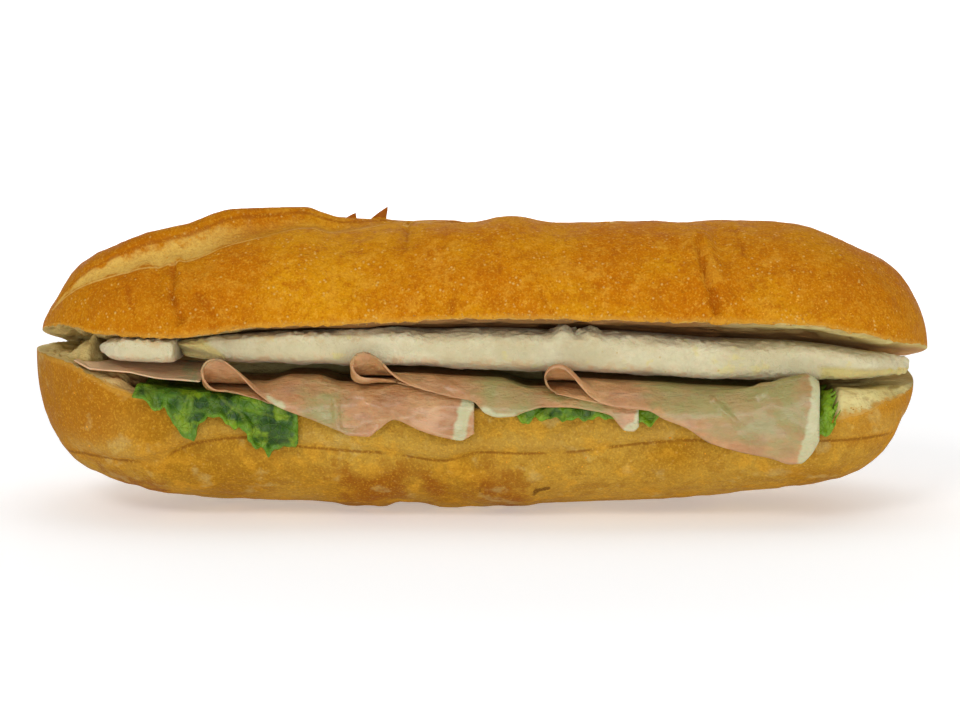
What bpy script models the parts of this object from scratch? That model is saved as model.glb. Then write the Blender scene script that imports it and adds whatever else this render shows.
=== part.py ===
"""Baguette sandwich: a crusty roll that is cut open from the front and hinged along its back, filled with
lettuce leaves, folded slices of cured ham and two slabs of white-rind cheese.

Metres, +Z up. The roll lies along X, its mouth opens towards -Y, and it rests on a flat spot at Z = 0.
"""

import math

import bmesh
import bpy
import numpy as np

MM = 0.001

# The roll: where each half starts and ends along X, and its half-widths and heights.
LOWER_ENDS = (-120 * MM, 116.5 * MM)
UPPER_ENDS = (-118.5 * MM, 120 * MM)
LOWER_CAPS = (34 * MM, 33 * MM)
UPPER_CAPS = (44 * MM, 33 * MM)
LOWER_HALF_WIDTH = 34.5 * MM
UPPER_HALF_WIDTH = 35 * MM
LOWER_SQUARENESS = 3.4
UPPER_SQUARENESS = 2.15

# The cut: both faces meet along a line behind the middle, where the uncut crumb is the hinge.
HINGE_Y = 17 * MM
CUT_HOLLOW = 4.0 * MM
TORN_SLOPE = 6 * MM
TIP_SLOPE = 4.2 * MM
TIP_CLEARANCE = 0.7 * MM
NUB_HEIGHT = 2 * MM
JOIN_DEPTH = 0.5 * MM

# The fillings.
CHEESE_FRONT_Y = -31 * MM
CHEESE_DEPTH = 26 * MM
CHEESE_TILT = -0.07
BLUNT_END = 0.16
HAM_THICKNESS = 0.9 * MM
HAM_INNER_Y = -8 * MM
LETTUCE_THICKNESS = 0.8 * MM

# How a filling leaves the mouth: where it starts to turn down, and after what share of its length.
SHOULDER_Y = -30 * MM
FOLD_SHARE = 0.36

# A folded slice: how much lower and how much further in its underlying flap lies, and where in front of
# the cheese its body may arch up.
FLAP_DROP = 0.14
FLAP_INSET = 1.3 * MM
ARCH_Y = -32.8 * MM

# Base colours, in linear light.
CRUST_COLOUR = (0.52, 0.22, 0.03)
CHEESE_COLOUR = (0.62, 0.54, 0.34)
HAM_COLOUR = (0.36, 0.2, 0.09)
INNER_HAM_COLOUR = (0.36, 0.16, 0.08)
LEAF_COLOUR = (0.07, 0.13, 0.01)

# How finely the surfaces are divided.
ROLL_RINGS = 56
CRUST_STEPS = 22
CUT_STEPS = 6


def track(points, unit=MM):
    """A smooth curve through (x, value) points, x in millimetres, that never overshoots a point."""
    xs = np.array([p[0] for p in points], float) * MM
    ys = np.array([p[1] for p in points], float) * unit
    chords = np.diff(ys) / np.diff(xs)
    before, after = chords[:-1], chords[1:]
    turning = before * after <= 0
    inner = np.where(turning, 0, 2 * before * after / np.where(turning, 1, before + after))
    slopes = np.concatenate([chords[:1], inner, chords[-1:]])

    def value(x):
        x = np.clip(x, xs[0], xs[-1])
        i = np.clip(np.searchsorted(xs, x) - 1, 0, len(xs) - 2)
        span = xs[i + 1] - xs[i]
        t = (x - xs[i]) / span
        ends = ys[i] * (1 + 2 * t) * (1 - t) ** 2 + ys[i + 1] * (3 - 2 * t) * t**2
        return ends + span * (slopes[i] * t * (1 - t) ** 2 + slopes[i + 1] * (t - 1) * t**2)

    return value


def smooth_step(t):
    t = np.clip(t, 0, 1)
    return t * t * (3 - 2 * t)


def bump(value, centre, reach):
    """1 at the centre, falling smoothly to 0 at the reach on either side."""
    return smooth_step(1 - np.abs(value - centre) / reach)


def cap(x, ends, lengths):
    """1 along the middle of the roll, falling to 0 at its two rounded ends."""
    left = np.clip((ends[0] + lengths[0] - x) / lengths[0], 0, 1)
    right = np.clip((x - ends[1] + lengths[1]) / lengths[1], 0, 1)
    return np.sqrt((1 - left**2.1) * (1 - right**2.1))


# The two cut faces.
hinge_z = track([(-120, 41.6), (-100, 40.8), (0, 38.7), (120, 36.9)])
tip_height = track([(-110, 40), (-98, 38.9), (-90, 37.6), (92, 35.2), (98, 35), (106, 34.6), (114, 34)])
upper_slope = track([(-120, 0.27), (-112, 0.26), (-98, 0.185), (-79, 0.17), (-68, 0.205), (-56, 0.234),
                     (-38, 0.252), (-16, 0.283), (10, 0.304), (41, 0.3), (81, 0.295), (94, 0.264),
                     (102, 0.24), (108, 0.23), (120, 0.25)], 1)
lower_slope = track([(-120, -0.04), (-109, -0.02), (-100.5, 0.042), (-95, 0.091), (-88, 0.125),
                     (-78, 0.145), (-68, 0.158), (30, 0.16), (70, 0.185), (92, 0.186), (100, 0.164),
                     (106, 0.133), (112, 0.135), (120, 0.15)], 1)


def hollow(x, y):
    """How far the fillings have pressed the crumb in."""
    along = smooth_step((108 * MM - np.abs(x)) / (25 * MM))
    across = smooth_step((y + 29 * MM) / (10 * MM)) * smooth_step((12 * MM - y) / (8 * MM))
    return CUT_HOLLOW * along * across


def upper_cut(x, y):
    return hinge_z(x) + upper_slope(x) * (HINGE_Y - y) + 0.3 * hollow(x, y)


def torn_front(x):
    """Where the torn crumb at the left end starts: it is further forward beyond the end of the cheese."""
    return -2 * MM - 18 * MM * smooth_step((-99.5 * MM - x) / (4 * MM))


def torn_crumb(x, y):
    """The share of the gap that is closed by crumb that tore instead of being cut."""
    along = smooth_step((x + 110 * MM) / (8 * MM)) * smooth_step((-86 * MM - x) / (8 * MM))
    return along * smooth_step((y - torn_front(x)) / TORN_SLOPE)


def tip_crumb(x, y):
    """How far the soft crumb stands up behind the rim at both tips: its height, and its share of that."""
    width = LOWER_HALF_WIDTH * cap(x, LOWER_ENDS, LOWER_CAPS)
    left = smooth_step((x + 108 * MM) / (6 * MM)) * smooth_step((-90 * MM - x) / (6 * MM))
    right = smooth_step((x - 91 * MM) / (3.5 * MM)) * smooth_step((114 * MM - x) / (6 * MM))
    return tip_height(x), np.maximum(left, right) * smooth_step((y + width) / TIP_SLOPE)


def lower_cut(x, y):
    """The lower cut face: a plain slope, then the crumb that stands up at the tips, then the torn crumb."""
    nub = NUB_HEIGHT * bump(x, 113 * MM, 7 * MM) * bump(y, 11 * MM, 8 * MM)
    face = hinge_z(x) - lower_slope(x) * (HINGE_Y - y) - hollow(x, y) + nub
    height, share = tip_crumb(x, y)
    height = np.minimum(height, cheese_under(x, y) - TIP_CLEARANCE)
    face = face + np.maximum(height - face, 0) * share
    return face + np.maximum(upper_cut(x, y) + JOIN_DEPTH - face, 0) * torn_crumb(x, y)


# The crust's relief.
upper_height = track([(-118, 16), (-116, 17), (-111, 24.3), (-106, 28.5), (-101, 30.2), (-87, 30.4),
                      (-77, 30), (-67, 31.7), (-58, 32.2), (-48, 33.6), (-38, 31.4), (-28, 31.6),
                      (-18, 32), (-5, 31.8), (8, 34.2), (20, 32), (35, 32.2), (50, 33.6), (62, 34),
                      (75, 33.4), (85, 32.3), (92, 31), (100, 30.4), (110, 31.5), (118, 32)])
underside = track([(-120, -2), (-115, -1), (-110, 1), (-105, 3.3), (-100, 4.8), (-94, 5), (-88, 4.2),
                   (-84, 3), (-61, 1.2), (-46, 0.8), (-41, 0.4), (-36, -0.7), (-26, -0.7), (-22, 0.4),
                   (-17, 0.4), (-11, -0.7), (12, -0.7), (16, 0.3), (20, 0.5), (26, 0.8), (39, 1.1),
                   (45, 1.4), (76, 4.3), (84, 5.7), (92, 6.1), (97, 6), (102, 5.2), (106, 5.4),
                   (109, 7.5), (111.5, 11.5), (118, 15)])
crease_height = track([(-104, 16.9), (-88, 16.1), (-81, 18.7), (-72, 21.8), (-61, 23), (-48, 20.8),
                       (-32, 19.2), (-22, 18.6), (-10, 16.9), (0, 19.3), (11, 18.7), (26, 19.5),
                       (40, 21.3), (53, 22.3)])
SLASHES = (
    # (start x, end x, start angle, end angle in degrees round the upper crust, width, raised edge)
    (-114 * MM, -18 * MM, 26, 80, 11 * MM, 4.0 * MM),
    (-22 * MM, 62 * MM, 66, 108, 12 * MM, 1.8 * MM),
    (34 * MM, 110 * MM, 68, 118, 11 * MM, 1.8 * MM),
)
DENTS = (
    # (x, angle in degrees round the upper crust, length along the arc, half-width, depth)
    (-83 * MM, 32, 20 * MM, 4 * MM, 1.0 * MM),
    (-20 * MM, 58, 14 * MM, 4 * MM, 1.1 * MM),
    (62 * MM, 42, 22 * MM, 5 * MM, 1.3 * MM),
    (17 * MM, 20, 14 * MM, 4 * MM, 0.6 * MM),
)


def slash_relief(x, angle, slash):
    """One score across the crust: a sunk band with a raised lip of crust behind it."""
    start, end, first, last, width, lip = slash
    t = np.clip((x - start) / (end - start), 0, 1)
    open_share = np.sin(math.pi * t) ** 0.6
    centre = first + (last - first) * t**0.75
    across = np.radians(angle - centre) * UPPER_HALF_WIDTH
    half = np.maximum(width / 2 * open_share, 0.1 * MM)
    band = -1.3 * MM * open_share * bump(across, -1 * MM, half + 3 * MM)
    behind = (across - half) / (10 * MM)
    raised = lip * open_share**2 * smooth_step(1.7 * behind + 0.7) * smooth_step(1.3 - behind)
    return band + raised


def upper_relief(x, angle):
    """How far the upper crust stands off its plain form, by x and by degrees round from the front rim."""
    total = 0.5 * MM * np.sin(x / (17 * MM) + 1) * np.sin(np.radians(angle) * 2)
    total = total + 0.4 * MM * np.sin(x / (8 * MM) + np.radians(angle) * 3)
    for slash in SLASHES:
        total = total + slash_relief(x, angle, slash)
    for dent_x, dent_angle, length, half_width, depth in DENTS:
        along = np.radians(angle - dent_angle) * UPPER_HALF_WIDTH
        total = total - depth * bump(x, dent_x, half_width) * bump(along, 0, length)
    return total * smooth_step(angle / 12) * smooth_step((180 - angle) / 12)


def lower_relief(x, height, front):
    """How far the lower crust stands off its plain form; the front has a long fold pressed into it."""
    above = (height - crease_height(x)) / (8 * MM)
    along = smooth_step((x + 112 * MM) / (20 * MM)) * smooth_step((66 * MM - x) / (20 * MM))
    lip, groove = np.exp(-((above - 0.45) ** 2) * 7), np.exp(-(above**2) * 22)
    fold = 1.1 * MM * along * front * (lip - 0.9 * groove)
    waves = 0.25 * MM * np.sin(x / (14 * MM) + 2) + 0.25 * MM * np.sin(x / (7 * MM) + height / (6 * MM))
    return fold + waves * smooth_step(height / (9 * MM))


def arc_angles(squareness, share):
    """Angles that divide a half-oval evenly by length, for shares from 0 to 1 of its outline."""
    fine = np.linspace(0, math.pi, 721)
    outline = np.stack([-np.cos(fine), np.sin(fine) ** (2 / squareness)], 1)
    run = np.concatenate([[0], np.cumsum(np.linalg.norm(np.diff(outline, axis=0), axis=1))])
    return np.interp(share * run[-1], run, fine)


def stretched(point_y, point_z, centre_z, relief):
    """A point of a section moved away from the section's centre by the relief."""
    reach = np.maximum(np.hypot(point_y, point_z - centre_z), 1e-6)
    grow = 1 + relief / np.maximum(reach, 10 * MM)
    return point_y * grow, centre_z + (point_z - centre_z) * grow


def floor_height(x):
    """The underside's height, which rises to meet the cut at both ends."""
    share = cap(x, LOWER_ENDS, LOWER_CAPS)
    tip = hinge_z(x) - lower_slope(x) * HINGE_Y
    return tip - (tip - underside(x)) * share


def lower_crust(x, share):
    width = LOWER_HALF_WIDTH * cap(x, LOWER_ENDS, LOWER_CAPS)
    angle = arc_angles(LOWER_SQUARENESS, share)
    y = -width * np.cos(angle)
    depth = np.maximum(np.sin(angle), 0) ** (2 / LOWER_SQUARENESS)
    rim = hinge_z(x) - lower_slope(x) * (HINGE_Y - y)
    bottom = floor_height(x)
    z = bottom + (rim - bottom) * (1 - depth)
    fade = smooth_step(share / 0.1) * smooth_step((1 - share) / 0.1) * smooth_step(width / (15 * MM))
    y, z = stretched(y, z, rim, lower_relief(x, z, share < 0.5) * fade)
    return y, np.maximum(z, 0)


def upper_crust(x, share):
    size = cap(x, UPPER_ENDS, UPPER_CAPS)
    tilt = np.arctan(upper_slope(x))
    angle = arc_angles(UPPER_SQUARENESS, share)
    across = -UPPER_HALF_WIDTH * size * np.cos(angle)
    up = upper_height(x) * size * np.maximum(np.sin(angle), 0) ** (2 / UPPER_SQUARENESS)
    relief = upper_relief(x, np.degrees(angle)) * smooth_step(size / 0.5)
    across, up = stretched(across, up, 0, relief)
    base_z = hinge_z(x) + upper_slope(x) * HINGE_Y
    return across * np.cos(tilt) + up * np.sin(tilt), base_z - across * np.sin(tilt) + up * np.cos(tilt)


def half_roll(crust, cut):
    """A rule that places a ball's vertices on one half of the roll: round the crust, then along the cut."""
    crust_share = CRUST_STEPS / (CRUST_STEPS + CUT_STEPS)

    def place(x, turn):
        share = np.clip(turn / crust_share, 0, 1)
        y, z = crust(x, share)
        front_y, _ = crust(x, share * 0)
        back_y, _ = crust(x, share * 0 + 1)
        across = np.clip((turn - crust_share) / (1 - crust_share), 0, 1)
        cut_y = back_y + (front_y - back_y) * across
        return np.where(turn <= crust_share, y, cut_y), np.where(turn <= crust_share, z, cut(x, cut_y))

    return place


def shape_ball(name, ends, rings, steps, place, spread=1.0):
    """A ball with its poles on X, whose vertices a rule moves: place(x, turn) gives y and z."""
    mesh = bpy.data.meshes.new(name)
    ball = bmesh.new()
    bmesh.ops.create_uvsphere(ball, u_segments=steps, v_segments=rings, radius=1)
    unit = np.array([v.co for v in ball.verts])
    along = np.sign(unit[:, 2]) * np.abs(unit[:, 2]) ** spread
    x = (ends[0] + ends[1]) / 2 + along * (ends[1] - ends[0]) / 2
    turn = np.round(np.arctan2(unit[:, 1], unit[:, 0]) / (2 * math.pi) % 1 * steps) / steps
    y, z = place(x, turn % 1)
    for vertex, co in zip(ball.verts, np.stack([x, y, z], 1)):
        vertex.co = co
    if ball.calc_volume(signed=True) < 0:
        bmesh.ops.reverse_faces(ball, faces=ball.faces)
    ball.to_mesh(mesh)
    ball.free()
    return add_object(name, mesh)


def shape_sheet(name, columns, rows, place, thickness):
    """A thin sheet from a flat grid, whose vertices a rule moves: place(s, t) gives x, y and z."""
    mesh = bpy.data.meshes.new(name)
    grid = bmesh.new()
    bmesh.ops.create_grid(grid, x_segments=columns, y_segments=rows, size=0.5)
    flat = np.array([v.co for v in grid.verts]) + 0.5
    points = place(np.round(flat[:, 0] * columns) / columns, np.round(flat[:, 1] * rows) / rows)
    for vertex, co in zip(grid.verts, np.stack(points, 1)):
        vertex.co = co
    bmesh.ops.triangulate(grid, faces=grid.faces)
    grid.to_mesh(mesh)
    grid.free()
    sheet = add_object(name, mesh)
    skin = sheet.modifiers.new("Thickness", "SOLIDIFY")
    skin.thickness = thickness
    skin.offset = 0
    return sheet


def add_object(name, mesh):
    made = bpy.data.objects.new(name, mesh)
    PARTS.objects.link(made)
    return made


# Cheese.
cheese_bottom = track([(-105, 42.8), (-92, 42.3), (-70, 41.6), (-56, 41.2), (-34, 40.9), (-18, 40.8),
                       (-5, 39.9), (9, 39.4), (20, 39.6), (33, 38.9), (45, 38.3), (55, 37.5), (67, 37),
                       (90, 36), (100, 35.4), (118, 36)])
cheese_edge = track([(-105, 47.6), (-92, 48.8), (-70, 50.5), (-40, 51.2), (-23, 50.8), (-13, 50),
                     (0, 50.3), (12, 50), (19, 49.4), (31, 49.6), (41, 49), (50, 48.2), (60, 47.5),
                     (80, 47.2), (90, 46.6), (99, 45.6), (118, 44)])


def cheese_under(x, y):
    """The underside of the cheese, which the ham lies against."""
    return cheese_bottom(x) + CHEESE_TILT * (y - CHEESE_FRONT_Y)


def cheese_top(x, y):
    """The top of the cheese: flat, or pressed down where the bread above is lower."""
    free = cheese_edge(x) + 0.6 * CHEESE_TILT * (y - CHEESE_FRONT_Y)
    return np.minimum(free, upper_cut(x, y) - 0.9 * MM)


def torn_rind(x):
    """Two tufts where the rind has torn upwards."""
    return 1.8 * MM * bump(x, 21 * MM, 4 * MM) + 1.2 * MM * bump(x, 28 * MM, 4 * MM)


def cheese_slab(name, ends, rings, steps, slant, left_end):
    """A slab with a rounded rind in front, following the rim of the roll.

    slant leans its cut left end over, and a higher left_end makes that end more pointed."""

    def place(x, turn):
        middle, half = (ends[0] + ends[1]) / 2, (ends[1] - ends[0]) / 2
        taper = np.where(x < middle, left_end, BLUNT_END)
        size = np.maximum(1 - np.abs((x - middle) / half) ** 2, 0) ** taper
        ring = 2 * math.pi * turn
        out = np.sign(np.cos(ring)) * np.abs(np.cos(ring)) ** 0.55 * size
        up = np.sign(np.sin(ring)) * np.abs(np.sin(ring)) ** 0.5 * size
        inset = LOWER_HALF_WIDTH * (1 - cap(x, LOWER_ENDS, LOWER_CAPS))
        front = CHEESE_FRONT_Y + np.maximum(inset - 1 * MM, 0) * 0.95
        back = np.minimum(front + CHEESE_DEPTH, (105 * MM - x) * 0.8)
        wobble = 0.35 * MM * np.sin(x / (6 * MM)) + 0.3 * MM * np.sin(x / (11 * MM) + 1)
        y = (front + back) / 2 - out * (back - front) / 2 + wobble * smooth_step(2 * out)
        low, high = cheese_under(x, y), cheese_top(x, y)
        z = (low + high) / 2 + up * (high - low) / 2
        z = z + torn_rind(x) * (up > 0.6) * (out > 0.2)
        return y, z

    slab = shape_ball(name, ends, rings, steps, place, 0.9)
    for vertex in slab.data.vertices:
        lean = (vertex.co.z - float(cheese_bottom(vertex.co.x))) * slant
        near_left = 1 - min(max((vertex.co.x - ends[0]) / (14 * MM), 0), 1)
        vertex.co.x -= lean * near_left
    return slab


# Ham and lettuce lie between the cut and the cheese, then hang over the rim.
def front_of_crust(x, height):
    """The y of the lower half's front at a height, or of its rim above that; and the rim's height."""
    width = LOWER_HALF_WIDTH * cap(x, LOWER_ENDS, LOWER_CAPS)
    rim = hinge_z(x) - lower_slope(x) * (HINGE_Y + width)
    bottom = floor_height(x)
    depth = 1 - np.clip((height - bottom) / np.maximum(rim - bottom, 1 * MM), 0, 1)
    relief = lower_relief(x, height, 1) * smooth_step(depth / 0.25)
    return -width * np.sqrt(np.maximum(1 - depth**LOWER_SQUARENESS, 0)) - relief, rim


def between(x, y, share):
    """A height in the gap that the fillings have: 0 is the crumb below and 1 is the cheese above."""
    crumb = lower_cut(x, np.maximum(y, -LOWER_HALF_WIDTH * cap(x, LOWER_ENDS, LOWER_CAPS)))
    return crumb + (cheese_under(x, y) - crumb) * share


def drape(x, t, share, stand_off, hem):
    """A line that runs out of the mouth and down over the rim: t is 0 inside and 1 at the hem.

    share is its place in the gap inside, and stand_off its distance from the crust outside."""
    inside = np.clip(t / FOLD_SHARE, 0, 1)
    outside = np.clip((t - FOLD_SHARE) / (1 - FOLD_SHARE), 0, 1) * math.pi / 2
    y_in = HAM_INNER_Y + (SHOULDER_Y - HAM_INNER_Y) * inside
    shoulder = between(x, SHOULDER_Y, share)
    drop = (shoulder - hem) * (1 - np.cos(outside))
    z_out = shoulder - drop
    crust_y, rim = front_of_crust(x, z_out)
    round_off = np.sqrt(1 - (1 - np.clip(drop / np.maximum(shoulder - rim, 1 * MM), 0, 1)) ** 2)
    y_out = SHOULDER_Y + np.minimum(crust_y - stand_off - SHOULDER_Y, 0) * round_off
    return np.where(t < FOLD_SHARE, y_in, y_out), np.where(t < FOLD_SHARE, between(x, y_in, share), z_out)


def ham_columns(spec, count):
    """The slice's stations: how far along it each is (negative on the folded flap), and its turn."""
    flap = -np.linspace(spec["flap"], 0, 5)
    bend = np.radians([-90, -45, 0, 45, 90])
    body = np.linspace(0, 1, count - 7) * (spec["end"] - spec["fold"])
    straight = np.concatenate([flap[:-1], [0, 0, 0, 0], body])
    return straight, np.concatenate([np.full(4, bend[0]), bend[:4], np.full(len(body), bend[4])])


def ham_slice(name, columns, rows, spec):
    """A thin slice whose left end is folded back under itself in a loop that flares open at the front."""
    straights, turns = ham_columns(spec, columns)

    def place(s, t):
        i = np.round(s * (len(straights) - 1)).astype(int)
        straight, turn = straights[i], turns[i]
        flare = smooth_step((t - FOLD_SHARE - 0.04) / 0.5)
        hairpin = 0.7 * MM
        radius = hairpin + (spec["loop"] / 2 - hairpin) * flare
        length = spec["end"] - spec["fold"]
        x = spec["fold"] + radius * (1 - np.cos(turn)) + np.abs(straight) * (1 - radius / length)
        near = np.exp(-((straight / spec["decay"]) ** 2))
        hem = spec["hem"](x)
        y_low, z_low = drape(x, t, spec["share"](x) - FLAP_DROP, spec["stand_off"](x) - FLAP_INSET, hem)
        y_high, z_high = drape(x, t, spec["share"](x), spec["stand_off"](x), hem)
        arch = spec["lift"](x) * smooth_step((ARCH_Y - y_high) / (1.6 * MM))
        z_high = z_high + arch * smooth_step((1.0 - t) / 0.4)
        outside = np.clip((t - FOLD_SHARE) / (1 - FOLD_SHARE), 0, 1) * math.pi / 2
        y_loop = SHOULDER_Y - spec["reach"] * np.sin(outside) ** 0.75
        y_low = y_low + (np.minimum(y_loop + FLAP_INSET, y_low) - y_low) * near * (t > FOLD_SHARE)
        y_high = y_high + (np.minimum(y_loop, y_high) - y_high) * near * (t > FOLD_SHARE)
        z_high = z_high + (z_low + 2 * radius - z_high) * near
        share = (1 + np.sin(turn)) / 2
        y = y_low + (y_high - y_low) * share
        z = z_low + (z_high - z_low) * share
        wave = 1 + np.sin(x / spec["wave"] * 2 * math.pi)
        ruffle = spec["ruffle"] * wave * smooth_step((t - 0.6) / 0.4)
        return x, y - ruffle * (1 - near), z

    return shape_sheet(name, len(straights) - 1, rows, place, HAM_THICKNESS)


HAM_SLICES = {
    "ham_slice_left": {
        "fold": -71 * MM,
        "end": -2 * MM,
        "flap": 14 * MM,
        "loop": 7.6 * MM,
        "decay": 8 * MM,
        "reach": 8 * MM,
        "wave": 26 * MM,
        "ruffle": 0.5 * MM,
        "hem": track([(-72, 36.8), (-65, 35.6), (-59, 34.1), (-46.4, 29.5), (-36.4, 25), (-34, 24),
                      (-29, 23.8), (-26.8, 25.4), (-22.4, 28.2), (-16.3, 25.6), (-10.2, 23.6),
                      (-5.4, 22.8), (-2, 24.5)]),
        "share": track([(-72, 0.5), (-56, 0.5), (-49, 0.72), (-43, 0.72), (-36, 0.42), (0, 0.42)], 1),
        "stand_off": track([(-72, 4.1), (-56, 4), (-48, 2.8), (-41, 1.3), (0, 1.3)]),
        "lift": track([(-72, 0), (0, 0)]),
    },
    "ham_slice_middle": {
        "fold": -33 * MM,
        "end": 40 * MM,
        "flap": 12 * MM,
        "loop": 6.4 * MM,
        "decay": 6 * MM,
        "reach": 8.4 * MM,
        "wave": 30 * MM,
        "ruffle": 0.35 * MM,
        "hem": track([(-34, 39.7), (-28.8, 39.2), (-24, 38.2), (-16.8, 36.3), (-8, 34), (-2.3, 32.9),
                      (0.8, 30.1), (4, 29.1), (8, 29.3), (11, 30.4), (16, 31.4), (21, 31.4), (28, 30.6),
                      (32.6, 29.6), (36.7, 25.5), (38.7, 25.4), (40, 26.6)]),
        "share": track([(-34, 0.8), (4, 0.8), (13, 0.42), (40, 0.42)], 1),
        "stand_off": track([(-34, 3.9), (-20, 3.6), (-12, 2.9), (-2, 2.9), (4, 2.6), (40, 2.6)]),
        "lift": track([(-34, 0), (40, 0)]),
    },
    "ham_slice_right": {
        "fold": 16.5 * MM,
        "end": 86 * MM,
        "flap": 12 * MM,
        "loop": 7 * MM,
        "decay": 6 * MM,
        "reach": 9.6 * MM,
        "wave": 34 * MM,
        "ruffle": 0.35 * MM,
        "hem": track([(16, 35.9), (21, 34.6), (28, 33), (35, 31.6), (42, 30.9), (46, 28.8), (52, 26.3),
                      (59, 22.1), (66, 20.1), (73.6, 18.7), (79, 17.1), (81.5, 17.3), (84, 19.6),
                      (86, 23)]),
        "share": track([(16, 0.8), (86, 0.8)], 1),
        "stand_off": track([(16, 4.9), (32, 4.8), (41, 4.4), (47, 3.1), (70, 3.1), (79, 3.6), (86, 3.7)]),
        "lift": track([(58, 0), (67, 1.2), (73.6, 3.2), (80, 5.3), (83, 5.8), (86, 4)]),
    },
}


inner_hem = track([(-106, 40.3), (-98, 40.1), (-91, 39.8), (-88, 39.2), (-83, 38.2), (-79, 37.9),
                   (-73, 37.4)])


def inner_ham(name):
    """The slice that lies flat in the left end of the mouth, under the short slab of cheese."""
    left, right = -106 * MM, -72.6 * MM

    def place(s, t):
        x = left + (right - left) * s
        front = -LOWER_HALF_WIDTH * cap(x, LOWER_ENDS, LOWER_CAPS) + 2.2 * MM
        back = np.minimum(HAM_INNER_Y, torn_front(x - 3 * MM) - 3 * MM)
        y = back + (front - back) * t
        level = cheese_under(x, y) - 1 * MM
        z = level + (inner_hem(x) - level) * smooth_step(t)
        return x, y, np.maximum(z, lower_cut(x, y) + 0.9 * MM)

    return shape_sheet(name, 16, 5, place, HAM_THICKNESS)


LETTUCE_LEAVES = {
    "lettuce_left": {
        "ends": (-89 * MM, -47.2 * MM),
        "grid": (24, 8),
        "hem": track([(-89, 35.6), (-85.7, 33), (-83.7, 29.9), (-81, 31.6), (-78, 25.5), (-75.5, 23.7),
                      (-73.7, 24), (-72, 27), (-69, 29.4), (-65.3, 26.8), (-60.5, 25.5), (-59, 21.2),
                      (-57, 20.9), (-54.6, 18.1), (-52.5, 20.9), (-48.4, 20.9), (-47, 24)]),
        "share": track([(-89, 0.19), (-47, 0.19)], 1),
        "frill": 1.5 * MM,
        "wave": 9 * MM,
    },
    "lettuce_middle": {
        "ends": (6 * MM, 47.5 * MM),
        "grid": (20, 6),
        "hem": track([(6, 31.2), (8.7, 29.1), (11.7, 26.8), (13.8, 28.5), (20, 28.1), (25, 28.1),
                      (32.7, 28.6), (36.5, 28.1), (41, 26.9), (43, 26.3), (44.7, 28.5), (47.5, 29.6)]),
        "share": track([(6, 0.19), (48, 0.19)], 1),
        "frill": 0.8 * MM,
        "wave": 8 * MM,
    },
    "lettuce_right": {
        "ends": (58 * MM, 91.5 * MM),
        "grid": (18, 6),
        "hem": track([(58, 31), (71, 29.3), (81, 25.5), (85.5, 23.7), (89, 24.4), (90.5, 28.3),
                      (91.5, 31)]),
        "share": track([(58, 0.19), (86.4, 0.19), (88.9, 0.72), (92, 0.72)], 1),
        "frill": 0.9 * MM,
        "wave": 7 * MM,
    },
}


def lettuce_leaf(name, spec):
    """A leaf that lies on the lower cut face under the ham and hangs its frilled edge over the rim."""
    left, right = spec["ends"]

    def place(s, t):
        x = left + (right - left) * s
        hem = np.minimum(spec["hem"](x), between(x, SHOULDER_Y, 0.17) - 2 * MM)
        y, z = drape(x, t, spec["share"](x), 1.2 * MM, hem)
        frill = spec["frill"] * (1 + np.sin((x - left) / spec["wave"] * 2 * math.pi)) / 2
        return x, y - frill * smooth_step((t - 0.72) / 0.28), z

    columns, rows = spec["grid"]
    return shape_sheet(name, columns, rows, place, LETTUCE_THICKNESS)


# The roll, joined from its two halves.
def crust_flake(x, size, sink):
    """A thin torn point of crust that stands up behind the first score."""
    mesh = bpy.data.meshes.new("flake")
    cone = bmesh.new()
    tip = 0.1 * MM
    bmesh.ops.create_cone(cone, cap_ends=True, segments=4, radius1=size, radius2=tip, depth=2.4 * size)
    for vertex in cone.verts:
        vertex.co.y *= 0.35
        vertex.co.x += 0.35 * vertex.co.z
    cone.to_mesh(mesh)
    cone.free()
    flake = bpy.data.objects.new("flake", mesh)
    y, z = upper_crust(np.array([x]), np.array([0.47]))
    flake.location = (x, y[0], z[0] + 1.2 * size - sink)
    return flake


def make_roll():
    steps = CRUST_STEPS + CUT_STEPS
    roll = shape_ball("roll", LOWER_ENDS, ROLL_RINGS, steps, half_roll(lower_crust, lower_cut))
    upper = shape_ball("upper_half", UPPER_ENDS, ROLL_RINGS, steps, half_roll(upper_crust, upper_cut))
    joined = bpy.data.collections.new("joined to the roll")
    PARTS.objects.unlink(upper)
    extras = [upper, crust_flake(-26 * MM, 2.6 * MM, 4 * MM), crust_flake(-34 * MM, 1.4 * MM, 2.9 * MM)]
    for piece in extras:
        joined.objects.link(piece)
    bpy.context.scene.collection.children.link(joined)
    join = roll.modifiers.new("Join", "BOOLEAN")
    join.operation = "UNION"
    join.operand_type = "COLLECTION"
    join.collection = joined
    join.solver = "EXACT"
    bpy.context.view_layer.update()
    whole = bpy.data.meshes.new_from_object(roll.evaluated_get(bpy.context.evaluated_depsgraph_get()))
    roll.modifiers.remove(join)
    roll.data = whole
    for piece in extras:
        bpy.data.objects.remove(piece)
    bpy.data.collections.remove(joined)
    return roll


def finish(obj, colour, roughness):
    """Gives an object its own material and smooth shading."""
    material = bpy.data.materials.new(obj.name)
    material.use_nodes = True
    shader = material.node_tree.nodes["Principled BSDF"]
    shader.inputs["Base Color"].default_value = (*colour, 1)
    shader.inputs["Roughness"].default_value = roughness
    shader.inputs["Metallic"].default_value = 0
    obj.data.materials.clear()
    obj.data.materials.append(material)
    obj.data.shade_smooth()
    return obj


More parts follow.
